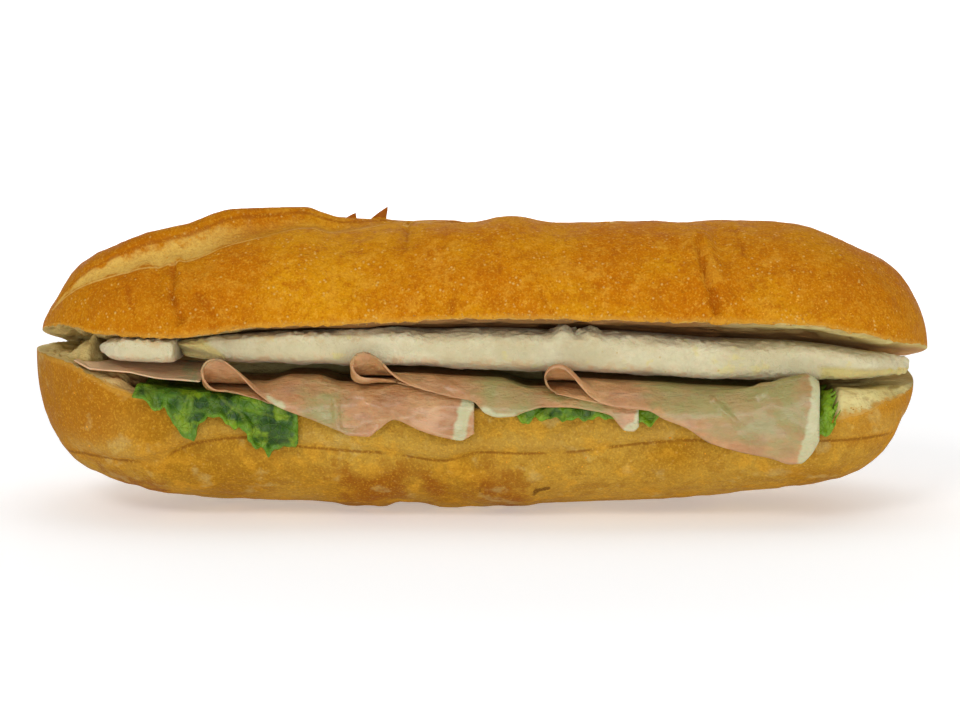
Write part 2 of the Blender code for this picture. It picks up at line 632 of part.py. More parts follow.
def main():
    finish(make_roll(), CRUST_COLOUR, 0.55)
    finish(cheese_slab("cheese_long", (-78 * MM, 114 * MM), 44, 14, 0.5, BLUNT_END), CHEESE_COLOUR, 0.7)
    finish(cheese_slab("cheese_short", (-100.5 * MM, -79.6 * MM), 12, 12, 0, 0.34), CHEESE_COLOUR, 0.7)
    finish(inner_ham("ham_slice_inner"), INNER_HAM_COLOUR, 0.4)
    for name, spec in HAM_SLICES.items():
        finish(ham_slice(name, 28, 9, spec), HAM_COLOUR, 0.4)
    for name, spec in LETTUCE_LEAVES.items():
        finish(lettuce_leaf(name, spec), LEAF_COLOUR, 0.4)


for old in list(bpy.data.objects):
    bpy.data.objects.remove(old)
PARTS = bpy.data.collections.new("baguette sandwich")
bpy.context.scene.collection.children.link(PARTS)
main()
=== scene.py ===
# %% [markdown]
# # A filled baguette, from plain solids to something you could eat
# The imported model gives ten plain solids: a roll, two slabs of cheese, four slices of ham and three leaves.
# Here each of them is built again, much finer, from the same rules, and gets the finish of the real food.
# The roll stays hinged along its back, and nothing moves from where the solids are.

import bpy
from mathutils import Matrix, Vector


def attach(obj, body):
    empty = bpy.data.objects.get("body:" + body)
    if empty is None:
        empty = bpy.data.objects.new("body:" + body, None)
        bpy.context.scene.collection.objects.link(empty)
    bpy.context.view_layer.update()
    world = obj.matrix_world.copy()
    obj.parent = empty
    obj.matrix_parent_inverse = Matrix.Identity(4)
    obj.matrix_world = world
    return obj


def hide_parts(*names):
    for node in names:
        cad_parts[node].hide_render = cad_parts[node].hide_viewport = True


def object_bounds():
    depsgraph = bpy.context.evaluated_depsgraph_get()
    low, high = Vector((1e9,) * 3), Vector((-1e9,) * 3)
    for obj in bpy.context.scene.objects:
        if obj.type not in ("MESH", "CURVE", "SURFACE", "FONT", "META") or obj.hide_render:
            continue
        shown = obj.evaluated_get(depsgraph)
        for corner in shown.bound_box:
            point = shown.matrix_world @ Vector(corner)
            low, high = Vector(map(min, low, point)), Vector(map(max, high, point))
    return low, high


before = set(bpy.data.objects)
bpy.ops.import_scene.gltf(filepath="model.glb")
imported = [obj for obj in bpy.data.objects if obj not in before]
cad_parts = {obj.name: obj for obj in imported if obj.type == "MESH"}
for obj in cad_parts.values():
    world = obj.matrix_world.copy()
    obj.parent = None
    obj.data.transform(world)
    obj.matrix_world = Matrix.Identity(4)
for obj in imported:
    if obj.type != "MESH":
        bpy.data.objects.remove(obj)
cad_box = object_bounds()
print("nodes:", ", ".join(sorted(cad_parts)))

# %% [markdown]
# Every length below is written in millimetres times MM, because Blender works in metres.
# NumPy moves tens of thousands of points at once, so each form is a rule over arrays, not a loop.

# %% Lengths and small helpers
import math

import bmesh
import bpy
import numpy as np
from mathutils.kdtree import KDTree

MM = 0.001


def smooth_step(t):
    t = np.clip(t, 0, 1)
    return t * t * (3 - 2 * t)


def bump(value, centre, reach):
    """1 at the centre, falling smoothly to 0 at the reach on either side."""
    return smooth_step(1 - np.abs(value - centre) / reach)


def track(points, unit=MM):
    """A smooth curve through (x, value) points, x in millimetres, that never overshoots a point."""
    xs = np.array([p[0] for p in points], float) * MM
    ys = np.array([p[1] for p in points], float) * unit
    chords = np.diff(ys) / np.diff(xs)
    before, after = chords[:-1], chords[1:]
    turning = before * after <= 0
    inner = np.where(turning, 0, 2 * before * after / np.where(turning, 1, before + after))
    slopes = np.concatenate([chords[:1], inner, chords[-1:]])

    def value(x):
        x = np.clip(x, xs[0], xs[-1])
        i = np.clip(np.searchsorted(xs, x) - 1, 0, len(xs) - 2)
        span = xs[i + 1] - xs[i]
        t = (x - xs[i]) / span
        ends = ys[i] * (1 + 2 * t) * (1 - t) ** 2 + ys[i + 1] * (3 - 2 * t) * t**2
        return ends + span * (slopes[i] * t * (1 - t) ** 2 + slopes[i + 1] * (t - 1) * t**2)

    return value


# %% [markdown]
# Bread, rind and leaf are never even, so most forms need smooth random lumps. This is value noise: random
# numbers on a lattice, blended between its corners. The same seed always gives the same lumps.

# %% Lumps in space
def lumps(points, size, seed):
    """Smooth random values from -1 to 1, with lumps about one size across."""
    cells = points / size
    corner = np.floor(cells)
    blend = smooth_step(cells - corner)
    total = np.zeros(len(points))
    for index in range(8):
        step = np.array([index & 1, index >> 1 & 1, index >> 2 & 1])
        weight = np.prod(np.where(step, blend, 1 - blend), axis=1)
        key = (corner + step) @ np.array([127.1, 311.7, 74.7]) + seed * 19.19
        total += weight * (np.abs(np.sin(key) * 43758.5453) % 1 * 2 - 1)
    return total


# %% [markdown]
# ## The roll
# A crusty roll has two baked skins, the flat-based lower half and the domed upper half, which one cut has
# opened from the front almost to the back. Its ends are round, so a cap rule takes every section to a point.

# %% The roll's plan
LOWER_ENDS = (-120 * MM, 116.5 * MM)
UPPER_ENDS = (-118.5 * MM, 120 * MM)
LOWER_CAPS = (34 * MM, 33 * MM)
UPPER_CAPS = (44 * MM, 33 * MM)
LOWER_HALF_WIDTH = 34.5 * MM
UPPER_HALF_WIDTH = 35 * MM
LOWER_SQUARENESS = 3.4
UPPER_SQUARENESS = 2.15


def cap(x, ends, lengths):
    """1 along the middle of the roll, falling to 0 at its two rounded ends."""
    left = np.clip((ends[0] + lengths[0] - x) / lengths[0], 0, 1)
    right = np.clip((x - ends[1] + lengths[1]) / lengths[1], 0, 1)
    return np.sqrt((1 - left**2.1) * (1 - right**2.1))


# %% [markdown]
# The cheese's underside comes first, because the soft crumb at the tips stands up as far as it lets it.

# %% The cheese's underside
CHEESE_FRONT_Y = -31 * MM
CHEESE_DEPTH = 26 * MM
CHEESE_TILT = -0.07
cheese_bottom = track([(-105, 42.8), (-92, 42.3), (-70, 41.6), (-56, 41.2), (-34, 40.9), (-18, 40.8),
                       (-5, 39.9), (9, 39.4), (20, 39.6), (33, 38.9), (45, 38.3), (55, 37.5), (67, 37),
                       (90, 36), (100, 35.4), (118, 36)])


def cheese_under(x, y):
    """The underside of the cheese, which the ham lies against."""
    return cheese_bottom(x) + CHEESE_TILT * (y - CHEESE_FRONT_Y)


# %% [markdown]
# The knife leaves two sloping faces that meet along a line behind the middle, the hinge. The slopes change
# along the roll, because the fillings hold the mouth wider open on the right than at the left tip.

# %% The two cut faces
HINGE_Y = 17 * MM
CUT_HOLLOW = 4.0 * MM
TORN_SLOPE = 6 * MM
TIP_SLOPE = 4.2 * MM
TIP_CLEARANCE = 0.7 * MM
hinge_z = track([(-120, 41.6), (-100, 40.8), (0, 38.7), (120, 36.9)])
tip_height = track([(-110, 40), (-98, 38.9), (-90, 37.6), (92, 35.2), (98, 35), (106, 34.6), (114, 34)])
upper_slope = track([(-120, 0.27), (-112, 0.26), (-98, 0.185), (-79, 0.17), (-68, 0.205), (-56, 0.234),
                     (-38, 0.252), (-16, 0.283), (10, 0.304), (41, 0.3), (81, 0.295), (94, 0.264),
                     (102, 0.24), (108, 0.23), (120, 0.25)], 1)
lower_slope = track([(-120, -0.04), (-109, -0.02), (-100.5, 0.042), (-95, 0.091), (-88, 0.125),
                     (-78, 0.145), (-68, 0.158), (30, 0.16), (70, 0.185), (92, 0.186), (100, 0.164),
                     (106, 0.133), (112, 0.135), (120, 0.15)], 1)


def hollow(x, y):
    """How far the fillings have pressed the crumb in."""
    along = smooth_step((108 * MM - np.abs(x)) / (25 * MM))
    return CUT_HOLLOW * along * smooth_step((y + 29 * MM) / (10 * MM)) * smooth_step((12 * MM - y) / (8 * MM))


def upper_cut(x, y):
    return hinge_z(x) + upper_slope(x) * (HINGE_Y - y) + 0.3 * hollow(x, y)


def torn_front(x):
    """Where the torn crumb at the left end starts: it is further forward beyond the end of the cheese."""
    return -2 * MM - 18 * MM * smooth_step((-99.5 * MM - x) / (4 * MM))


def torn_crumb(x, y):
    """The share of the gap that is closed by crumb that tore instead of being cut."""
    along = smooth_step((x + 110 * MM) / (8 * MM)) * smooth_step((-86 * MM - x) / (8 * MM))
    return along * smooth_step((y - torn_front(x)) / TORN_SLOPE)


def tip_crumb(x, y):
    """How far the soft crumb stands up behind the rim at both tips: its height, and its share of that."""
    width = LOWER_HALF_WIDTH * cap(x, LOWER_ENDS, LOWER_CAPS)
    left = smooth_step((x + 108 * MM) / (6 * MM)) * smooth_step((-90 * MM - x) / (6 * MM))
    right = smooth_step((x - 90 * MM) / (3 * MM)) * smooth_step((117 * MM - x) / (5 * MM))
    return tip_height(x), np.maximum(left, right) * smooth_step((y + width) / TIP_SLOPE)


def lower_cut(x, y):
    nub = 2 * MM * bump(x, 113 * MM, 7 * MM) * bump(y, 11 * MM, 8 * MM)
    plain = hinge_z(x) - lower_slope(x) * (HINGE_Y - y) - hollow(x, y) + nub
    height, share = tip_crumb(x, y)
    height = np.minimum(height, cheese_under(x, y) - TIP_CLEARANCE)
    plain = plain + np.maximum(height - plain, 0) * share
    return plain + np.maximum(upper_cut(x, y) + 0.5 * MM - plain, 0) * torn_crumb(x, y)


# %% [markdown]
# Three scores were cut across the dough before baking. Each opened into a smooth paler band and pushed up a
# lip of crust, the ear, behind it. Hands and the oven left shallow dents, and the lower half has a long fold.

# %% Heights, scores, dents and the fold
upper_height = track([(-118, 16), (-116, 17), (-111, 24.3), (-106, 28.5), (-101, 30.2), (-87, 30.4),
                      (-77, 30), (-67, 31.7), (-58, 32.2), (-48, 33.6), (-38, 31.4), (-28, 31.6),
                      (-18, 32), (-5, 31.8), (8, 34.2), (20, 32), (35, 32.2), (50, 33.6), (62, 34),
                      (75, 33.4), (85, 32.3), (92, 31), (100, 30.4), (110, 31.5), (118, 32)])
underside = track([(-120, -2), (-115, -1), (-110, 1), (-105, 3.3), (-100, 4.8), (-94, 5), (-88, 4.2),
                   (-84, 3), (-61, 1.2), (-46, 0.8), (-41, 0.4), (-36, -0.7), (-26, -0.7), (-22, 0.4),
                   (-17, 0.4), (-11, -0.7), (12, -0.7), (16, 0.3), (20, 0.5), (26, 0.8), (39, 1.1),
                   (45, 1.4), (76, 4.3), (84, 5.7), (92, 6.1), (97, 6), (102, 5.2), (106, 5.4),
                   (109, 7.5), (111.5, 11.5), (118, 15)])
crease_height = track([(-104, 16.9), (-88, 16.1), (-81, 18.7), (-72, 21.8), (-61, 23), (-48, 20.8),
                       (-32, 19.2), (-22, 18.6), (-10, 16.9), (0, 19.3), (11, 18.7), (26, 19.5),
                       (40, 21.3), (53, 22.3)])
SLASHES = (
    # (start x, end x, start angle, end angle in degrees round the upper crust, width, raised edge)
    (-114 * MM, -18 * MM, 26, 80, 11 * MM, 4.0 * MM),
    (-22 * MM, 62 * MM, 66, 108, 12 * MM, 1.8 * MM),
    (34 * MM, 110 * MM, 68, 118, 11 * MM, 1.8 * MM),
)
DENTS = (
    # (x, angle in degrees round the upper crust, length along the arc, half-width, depth)
    (-83 * MM, 32, 20 * MM, 4 * MM, 1.0 * MM),
    (-20 * MM, 58, 14 * MM, 4 * MM, 1.1 * MM),
    (62 * MM, 42, 22 * MM, 5 * MM, 1.3 * MM),
    (17 * MM, 20, 14 * MM, 4 * MM, 0.6 * MM),
)


def slash_place(x, angle, slash):
    """Where a point is in a score: how far across it, its half-width there, and how open it is."""
    start, end, first, last, width, _ = slash
    t = np.clip((x - start) / (end - start), 0, 1)
    open_share = np.sin(math.pi * t) ** 0.6
    across = np.radians(angle - first - (last - first) * t**0.75) * UPPER_HALF_WIDTH
    return across, np.maximum(width / 2 * open_share, 0.1 * MM), open_share


def slash_relief(x, angle, slash):
    """One score across the crust: a sunk band with a raised lip of crust behind it."""
    across, half, open_share = slash_place(x, angle, slash)
    band = -1.3 * MM * open_share * bump(across, -1 * MM, half + 3 * MM)
    behind = (across - half) / (10 * MM)
    raised = slash[5] * open_share**2 * smooth_step(1.7 * behind + 0.7) * smooth_step(1.3 - behind)
    return band + raised


def upper_relief(x, angle):
    """How far the upper crust stands off its plain form, by x and by degrees round from the front rim."""
    total = 0.5 * MM * np.sin(x / (17 * MM) + 1) * np.sin(np.radians(angle) * 2)
    total = total + 0.4 * MM * np.sin(x / (8 * MM) + np.radians(angle) * 3)
    for slash in SLASHES:
        total = total + slash_relief(x, angle, slash)
    for dent_x, dent_angle, length, half_width, depth in DENTS:
        along = np.radians(angle - dent_angle) * UPPER_HALF_WIDTH
        total = total - depth * bump(x, dent_x, half_width) * bump(along, 0, length)
    return total * smooth_step(angle / 12) * smooth_step((180 - angle) / 12)


def lower_relief(x, height, front):
    """How far the lower crust stands off its plain form; the front has a long fold pressed into it."""
    above = (height - crease_height(x)) / (8 * MM)
    along = smooth_step((x + 112 * MM) / (20 * MM)) * smooth_step((66 * MM - x) / (20 * MM))
    fold = 1.1 * MM * along * front * (np.exp(-((above - 0.45) ** 2) * 7) - 0.9 * np.exp(-(above**2) * 22))
    waves = 0.25 * MM * np.sin(x / (14 * MM) + 2) + 0.25 * MM * np.sin(x / (7 * MM) + height / (6 * MM))
    return fold + waves * smooth_step(height / (9 * MM))


# %% [markdown]
# Each section of the crust is half of a rounded box, walked from the front rim over to the back rim. The
# points are spread by length, so that none bunch up at the corners, and the relief moves them outwards.

# %% Sections of the two crusts
def arc_angles(squareness, share):
    """Angles that divide a half-oval evenly by length, for shares from 0 to 1 of its outline."""
    fine = np.linspace(0, math.pi, 721)
    outline = np.stack([-np.cos(fine), np.sin(fine) ** (2 / squareness)], 1)
    run = np.concatenate([[0], np.cumsum(np.linalg.norm(np.diff(outline, axis=0), axis=1))])
    return np.interp(share * run[-1], run, fine)


def stretched(point_y, point_z, centre_z, relief):
    """A point of a section moved away from the section's centre by the relief."""
    reach = np.maximum(np.hypot(point_y, point_z - centre_z), 1e-6)
    grow = 1 + relief / np.maximum(reach, 10 * MM)
    return point_y * grow, centre_z + (point_z - centre_z) * grow


def floor_height(x):
    """The underside's height, which rises to meet the cut at both ends."""
    share = cap(x, LOWER_ENDS, LOWER_CAPS)
    tip = hinge_z(x) - lower_slope(x) * HINGE_Y
    return tip - (tip - underside(x)) * share


def lower_crust(x, share):
    width = LOWER_HALF_WIDTH * cap(x, LOWER_ENDS, LOWER_CAPS)
    angle = arc_angles(LOWER_SQUARENESS, share)
    y = -width * np.cos(angle)
    depth = np.maximum(np.sin(angle), 0) ** (2 / LOWER_SQUARENESS)
    rim = hinge_z(x) - lower_slope(x) * (HINGE_Y - y)
    bottom = floor_height(x)
    z = bottom + (rim - bottom) * (1 - depth)
    fade = smooth_step(share / 0.1) * smooth_step((1 - share) / 0.1) * smooth_step(width / (15 * MM))
    y, z = stretched(y, z, rim, lower_relief(x, z, share < 0.5) * fade)
    return y, np.maximum(z, 0)


def upper_crust(x, share):
    size = cap(x, UPPER_ENDS, UPPER_CAPS)
    tilt = np.arctan(upper_slope(x))
    angle = arc_angles(UPPER_SQUARENESS, share)
    across = -UPPER_HALF_WIDTH * size * np.cos(angle)
    up = upper_height(x) * size * np.maximum(np.sin(angle), 0) ** (2 / UPPER_SQUARENESS)
    relief = upper_relief(x, np.degrees(angle)) * smooth_step(size / 0.5)
    across, up = stretched(across, up, 0, relief)
    base_z = hinge_z(x) + upper_slope(x) * HINGE_Y
    return across * np.cos(tilt) + up * np.sin(tilt), base_z - across * np.sin(tilt) + up * np.cos(tilt)


# %% [markdown]
# A half of the roll is one closed skin, so it starts as a ball with its poles on X, and a rule moves the
# ball's points: most of its turns walk over the crust, and the rest come back along the cut face. Points lie
# closer together towards the front, where the eye rests.

# %% Balls and what is known about their points
def new_object(name, mesh):
    made = bpy.data.objects.new(name, mesh)
    bpy.context.scene.collection.objects.link(made)
    return made


def read(mesh, what="co"):
    """A mesh's points or normals as rows of an array."""
    values = np.empty(len(mesh.vertices) * 3)
    source = mesh.vertices if what == "co" else mesh.vertex_normals
    source.foreach_get("co" if what == "co" else "vector", values)
    return values.reshape(-1, 3)


def write(mesh, points):
    """Puts points back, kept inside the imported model's box, which the food mustn't outgrow."""
    low, high = np.array(cad_box[0]), np.array(cad_box[1])
    mesh.vertices.foreach_set("co", np.clip(points, low, high).ravel())
    mesh.update()


def mark(mesh, **masks):
    """Stores one number for each point under a name that a material can read."""
    for name, values in masks.items():
        layer = mesh.attributes.get(name) or mesh.attributes.new(name, "FLOAT", "POINT")
        layer.data.foreach_set("value", np.broadcast_to(values, len(mesh.vertices)).astype(np.float32))


def ball_mesh(name, ends, rings, steps, place, spread=1.0):
    """A ball with its poles on X whose points a rule moves; also gives each point's x and turn."""
    ball = bmesh.new()
    bmesh.ops.create_uvsphere(ball, u_segments=steps, v_segments=rings, radius=1)
    unit = np.array([v.co for v in ball.verts])
    mesh = bpy.data.meshes.new(name)
    along = np.sign(unit[:, 2]) * np.abs(unit[:, 2]) ** spread
    x = (ends[0] + ends[1]) / 2 + along * (ends[1] - ends[0]) / 2
    turn = np.round(np.arctan2(unit[:, 1], unit[:, 0]) / (2 * math.pi) % 1 * steps) / steps % 1
    y, z = place(x, turn)
    for vertex, co in zip(ball.verts, np.stack([x, y, z], 1)):
        vertex.co = co
    if ball.calc_volume(signed=True) < 0:
        bmesh.ops.reverse_faces(ball, faces=ball.faces)
    ball.to_mesh(mesh)
    ball.free()
    return mesh, x, turn


# %% Placing a half's points, thicker on the ground in front
CRUST_SHARE = 0.68
ROLL_RINGS = 310
ROLL_STEPS = 140


def crust_share_of(turn):
    share = np.clip(turn / CRUST_SHARE, 0, 1)
    return share * (0.72 + 0.28 * share)


def half_roll(crust, cut):
    """A rule that places a ball's points on one half of the roll: crust round the outside, then the cut."""

    def place(x, turn):
        share = crust_share_of(turn)
        y, z = crust(x, share)
        front_y, _ = crust(x, share * 0)
        back_y, _ = crust(x, share * 0 + 1)
        across = np.clip((turn - CRUST_SHARE) / (1 - CRUST_SHARE), 0, 1)
        cut_y = back_y + (front_y - back_y) * across * (1.4 - 0.4 * across)
        on_crust = turn <= CRUST_SHARE + 1e-9
        return np.where(on_crust, y, cut_y), np.where(on_crust, z, cut(x, cut_y))

    return place


# %% [markdown]
# The fine relief comes after the form. Crust gets broad swellings and small blisters. The cut crumb gets
# open pores, and the thin edge where the two meet is ragged, as a bread knife leaves it. A material can't
# know where the crust ends or how far a point is from a score, so each point carries that as a number, and
# the material draws crisp edges from it.

# %% Fine relief and the marks for the materials
def nearest_slash(x, angle):
    """How far inside the nearest score a point is, in millimetres (negative outside)."""
    inside = np.full(len(x), -20.0)
    for slash in SLASHES:
        across, half, _ = slash_place(x, angle, slash)
        within = (x > slash[0]) & (x < slash[1])
        inside = np.where(within, np.maximum(inside, (half - np.abs(across + 1 * MM)) / MM), inside)
    return inside


def stroke(points, line, half_width):
    """How far inside a stroke each point is, in millimetres: positive inside it, negative outside."""
    best = np.full(len(points), 99.0)
    flat = points[:, [0, 2]] / MM
    for start, end in zip(line, line[1:]):
        start, end = np.array(start, float), np.array(end, float)
        run = end - start
        t = np.clip((flat - start) @ run / (run @ run), 0, 1)
        best = np.minimum(best, np.linalg.norm(flat - start - t[:, None] * run, axis=1))
    return half_width - best


def strongest(points, strokes):
    """The highest stroke value at each point, over several strokes."""
    found = np.full(len(points), -20.0)
    for line, half_width, *_ in strokes:
        found = np.maximum(found, stroke(points, line, half_width))
    return found


def wandering(points):
    """The points pushed about a little, so that a stroke looked up with them gets an uneven outline."""
    return points + 1.1 * MM * lumps(points, 5 * MM, 15)[:, None] + 0.5 * MM * lumps(points, 2 * MM, 16)[:, None]


def below_slash(x, angle):
    """1 on the front side of the scores' middle lines and 0 behind them."""
    across, _, _ = slash_place(x, angle, SLASHES[0])
    return smooth_step(0.5 - across / (2 * MM))


CREASES = (
    # short folds in the front of the upper crust: (x, z) points, half-width and depth, all in millimetres
    ([(-79.8, 66), (-78.8, 58.5), (-77.4, 53.4)], 1.6, 1.8),
    ([(-72, 60.5), (-68.6, 52.3)], 1.6, 0.8),
    ([(-91.5, 61), (-90, 54)], 1.4, 0.4),
    ([(-20.5, 90), (-20, 74), (-19.5, 71)], 1.2, 0.8),
    ([(-7.7, 61.6), (-7.7, 55.5)], 1.4, 0.5),
    ([(14.9, 62.2), (16.2, 58.6), (18, 54.4)], 1.5, 0.55),
    ([(57, 71), (57.4, 64), (59.5, 60.8), (60.2, 56)], 2.1, 2.2),
    ([(53.4, 65), (54, 58.6)], 2.2, -0.6),
    ([(67.7, 75), (68.7, 69)], 1.3, 0.5),
    ([(4.4, 70), (5, 66.5)], 1.1, 0.35),
    ([(91.5, 67), (88.5, 63.5)], 1.3, 0.35),
)
BROWNED = (
    # patches of the lower crust that baked darker: (x, z) points and half-width in millimetres
    ([(-31, 7), (-25, 10)], 5),
    ([(-36, 12), (-26, 8)], 3),
    ([(1, 10), (8, 6)], 4.5),
    ([(-97, 11), (-94, 8), (-84, 6)], 2.2),
    ([(-14, 10), (-12, 7)], 2.4),
)
CRACK = (([(13.2, 6.4), (13.8, 8.3), (17.4, 8.8)], 0.5), ([(13.8, 8.3), (14.6, 9.6)], 0.35),
         ([(-1, 9.8), (-0.6, 7.8)], 0.3))


def half_mesh(name, ends, crust, cut, upper):
    """One half of the roll with its fine relief and its marks."""
    mesh, x, turn = ball_mesh(name, ends, ROLL_RINGS, ROLL_STEPS, half_roll(crust, cut))
    points, normals = read(mesh), read(mesh, "normal")
    on_crust = (turn <= CRUST_SHARE + 1e-9) | (np.abs(points[:, 0]) > 119.9 * MM)
    rim = np.minimum(turn, np.where(on_crust, 1, 1 - turn)) * ROLL_STEPS
    tip = np.minimum(x - ends[0], ends[1] - x)
    fade = smooth_step(tip / (6 * MM))
    skin = 0.4 * MM * lumps(points, 9 * MM, 1) + 0.2 * MM * lumps(points, 3.4 * MM, 2)
    skin = skin + 0.1 * MM * np.maximum(lumps(points, 1.8 * MM, 3), 0)
    front = points[:, 1] < 0
    bent = wandering(points)
    for line, half_width, depth in CREASES if upper else ():
        inside = stroke(bent, line, half_width) / half_width
        shown = smooth_step((4 * MM - points[:, 1]) / (8 * MM))
        skin = skin - shown * depth * MM * (smooth_step(inside) - 0.35 * smooth_step(1.2 * inside + 1.6))
    pores = -0.75 * MM * smooth_step((lumps(points * (0.6, 1, 1), 2.6 * MM, 4) - 0.1) * 2)
    pores = pores + 0.3 * MM * lumps(points, 5 * MM, 5)
    torn = smooth_step((-84 * MM - points[:, 0]) / (6 * MM)) * smooth_step(rim / 6 - 0.5)
    pores = pores + torn * (1.0 * MM * lumps(points, 2.6 * MM, 7) + 0.5 * MM * lumps(points, 1.2 * MM, 8))
    amount = np.where(on_crust, skin, pores * smooth_step(rim / 3)) * fade
    ragged = 0.45 * MM * lumps(points, 1.4 * MM, 6) * (rim < 1.5) * fade
    moved = points + normals * amount[:, None]
    moved[:, 2] += ragged
    write(mesh, moved)
    angle = np.degrees(arc_angles(UPPER_SQUARENESS, crust_share_of(turn)))
    behind = smooth_step((points[:, 1] - 12 * MM) / (10 * MM)) * on_crust
    drift = 3 * MM * lumps(points, 9 * MM, 17)
    tone = upper + (smooth_step((points[:, 2] + drift - hinge_z(x)) / (40 * MM) + 0.5) - upper) * behind
    # The mark at the upper crust's creases carries painted shade; on the lower crust it marks browned patches.
    mark(
        mesh,
        crumb=np.where(on_crust, 0.0, 1.0),
        upper=tone,
        rim=rim,
        slash=np.where(on_crust, nearest_slash(x, angle), -20) if upper else -20,
        lower_edge=below_slash(x, angle),
        dent=np.where(front, strongest(bent, [c for c in CREASES if c[2] > 0] if upper else BROWNED), -9),
        fold=np.clip((points[:, 2] - crease_height(x)) / MM, -20, 20) + 3 * bump(x, -84 * MM, 5 * MM)
        if not upper else 20,
        crack=np.where(front, strongest(points, CRACK), -20) if not upper else -20,
        front=np.where(on_crust & (points[:, 1] < 0), 1.0, 0.0),
    )
    return new_object(name, mesh)


lower_half = half_mesh("lower_half", LOWER_ENDS, lower_crust, lower_cut, 0)
upper_half = half_mesh("upper_half", UPPER_ENDS, upper_crust, upper_cut, 1)
print("points in each half:", len(lower_half.data.vertices), len(upper_half.data.vertices))

# %% [markdown]
# Behind the first score two torn points of crust stand up against the sky: a low wedge and a thin spike.
# Each is a small bent pyramid with a thin base that sinks into the crust.

# %% Torn points of crust
def crust_flake(x, width, height, sink, lean):
    """A thin point of crust: steep on its right, sloping on its left."""
    flake = bmesh.new()
    rows = 7
    y0, z0 = (float(v[0]) for v in upper_crust(np.array([x]), np.array([0.47])))
    rings = []
    for i in range(rows):
        t = i / (rows - 1)
        half = max(width / 2 * (1 - t) ** 0.8, 0.06 * MM)
        centre = x + lean * t**1.2
        thick = max(0.9 * MM * (1 - t), 0.08 * MM)
        z = z0 - sink + (height + sink) * t
        wave = 0.2 * MM * math.sin(5 * t + 1000 * x)
        corners = ((-half, -thick), (0, -1.3 * thick), (half, -thick), (half, thick), (0, 1.3 * thick), (-half, thick))
        rings.append([flake.verts.new((centre + a + wave, y0 + b - wave, z)) for a, b in corners])
    for below, above in zip(rings, rings[1:]):
        for i in range(6):
            j = (i + 1) % 6
            flake.faces.new((below[i], below[j], above[j], above[i]))
    flake.faces.new(reversed(rings[0]))
    flake.faces.new(rings[-1])
    bmesh.ops.recalc_face_normals(flake, faces=flake.faces)
    mesh = bpy.data.meshes.new("flake")
    flake.to_mesh(mesh)
    flake.free()
    mark(mesh, crumb=0.0, upper=2.0, rim=9.0, slash=-20, lower_edge=0, dent=-9, fold=20, crack=-20, front=0)
    return new_object("flake", mesh)


flakes = [
    crust_flake(-28.8 * MM, 6.2 * MM, 3.4 * MM, 2 * MM, 3.0 * MM),
    crust_flake(-36.6 * MM, 6.0 * MM, 1.4 * MM, 2 * MM, 2.4 * MM),
]


# %% [markdown]
# The real roll is one piece, so the two halves and the torn points become one closed skin. Blender's
# manifold Boolean does that in seconds. It makes new points along the seams, so every point of the result
# looks up the nearest point of the pieces it came from and takes over its marks.

# %% One closed roll
MARKS = ("crumb", "upper", "rim", "slash", "lower_edge", "dent", "fold", "crack", "front")


def joined(name, first, others):
    """The union of closed skins as a plain mesh, with the marks of the nearest original points."""
    group = bpy.data.collections.new("to join")
    bpy.context.scene.collection.children.link(group)
    for piece in others:
        bpy.context.scene.collection.objects.unlink(piece)
        group.objects.link(piece)
    join = first.modifiers.new("Join", "BOOLEAN")
    join.operation = "UNION"
    join.operand_type = "COLLECTION"
    join.collection = group
    join.solver = "MANIFOLD"
    bpy.context.view_layer.update()
    whole = bpy.data.meshes.new_from_object(first.evaluated_get(bpy.context.evaluated_depsgraph_get()))
    whole.name = name
    sources = [first] + others
    where = np.concatenate([read(piece.data) for piece in sources])
    tree = KDTree(len(where))
    for index, point in enumerate(where):
        tree.insert(point, index)
    tree.balance()
    nearest = np.array([tree.find(point)[1] for point in read(whole)])
    for layer in list(whole.attributes):
        if layer.name in MARKS:
            whole.attributes.remove(layer)
    values = {}
    for key in MARKS:
        parts = []
        for piece in sources:
            found = np.empty(len(piece.data.vertices), np.float32)
            piece.data.attributes[key].data.foreach_get("value", found)
            parts.append(found)
        values[key] = np.concatenate(parts)[nearest]
    mark(whole, **values)
    for piece in sources:
        bpy.data.objects.remove(piece)
    bpy.data.collections.remove(group)
    return new_object(name, whole)


roll = joined("crusty_roll", lower_half, [upper_half] + flakes)
print("the joined roll has", len(roll.data.polygons), "faces")

# %% [markdown]
# Crust faces and crumb faces need different finishes, so each face is sorted by the marks of its corners.

# %% Sorting crust from crumb
def sort_faces(mesh, key, limit):
    """Gives a face the second material where its corners' marks are high enough on average."""
    marks = np.empty(len(mesh.vertices), np.float32)
    mesh.attributes[key].data.foreach_get("value", marks)
    corners = np.empty(len(mesh.loops), np.int32)
    mesh.loops.foreach_get("vertex_index", corners)
    starts = np.empty(len(mesh.polygons), np.int32)
    mesh.polygons.foreach_get("loop_start", starts)
    sizes = np.empty(len(mesh.polygons), np.int32)
    mesh.polygons.foreach_get("loop_total", sizes)
    means = np.add.reduceat(marks[corners], starts) / sizes
    mesh.polygons.foreach_set("material_index", (means > limit).astype(np.int32))
    return int((means > limit).sum())


while len(roll.data.materials) < 2:
    roll.data.materials.append(None)
print("crumb faces:", sort_faces(roll.data, "crumb", 0.25))

# %% [markdown]
# ## Finishes
# A material here is a short sentence of nodes: a base colour, changed by noise at two or three sizes and by
# the marks on the points. These helpers keep such sentences readable. Colours are given as they look on a
# screen, 0 to 255, and turned into the linear light that the shader counts in.

# %% Node helpers
def screen(red, green, blue):
    """A colour as seen on a screen, turned into linear light."""
    shares = np.array([red, green, blue]) / 255
    linear = np.where(shares <= 0.04045, shares / 12.92, ((shares + 0.055) / 1.055) ** 2.4)
    return (*[float(c) for c in linear], 1.0)


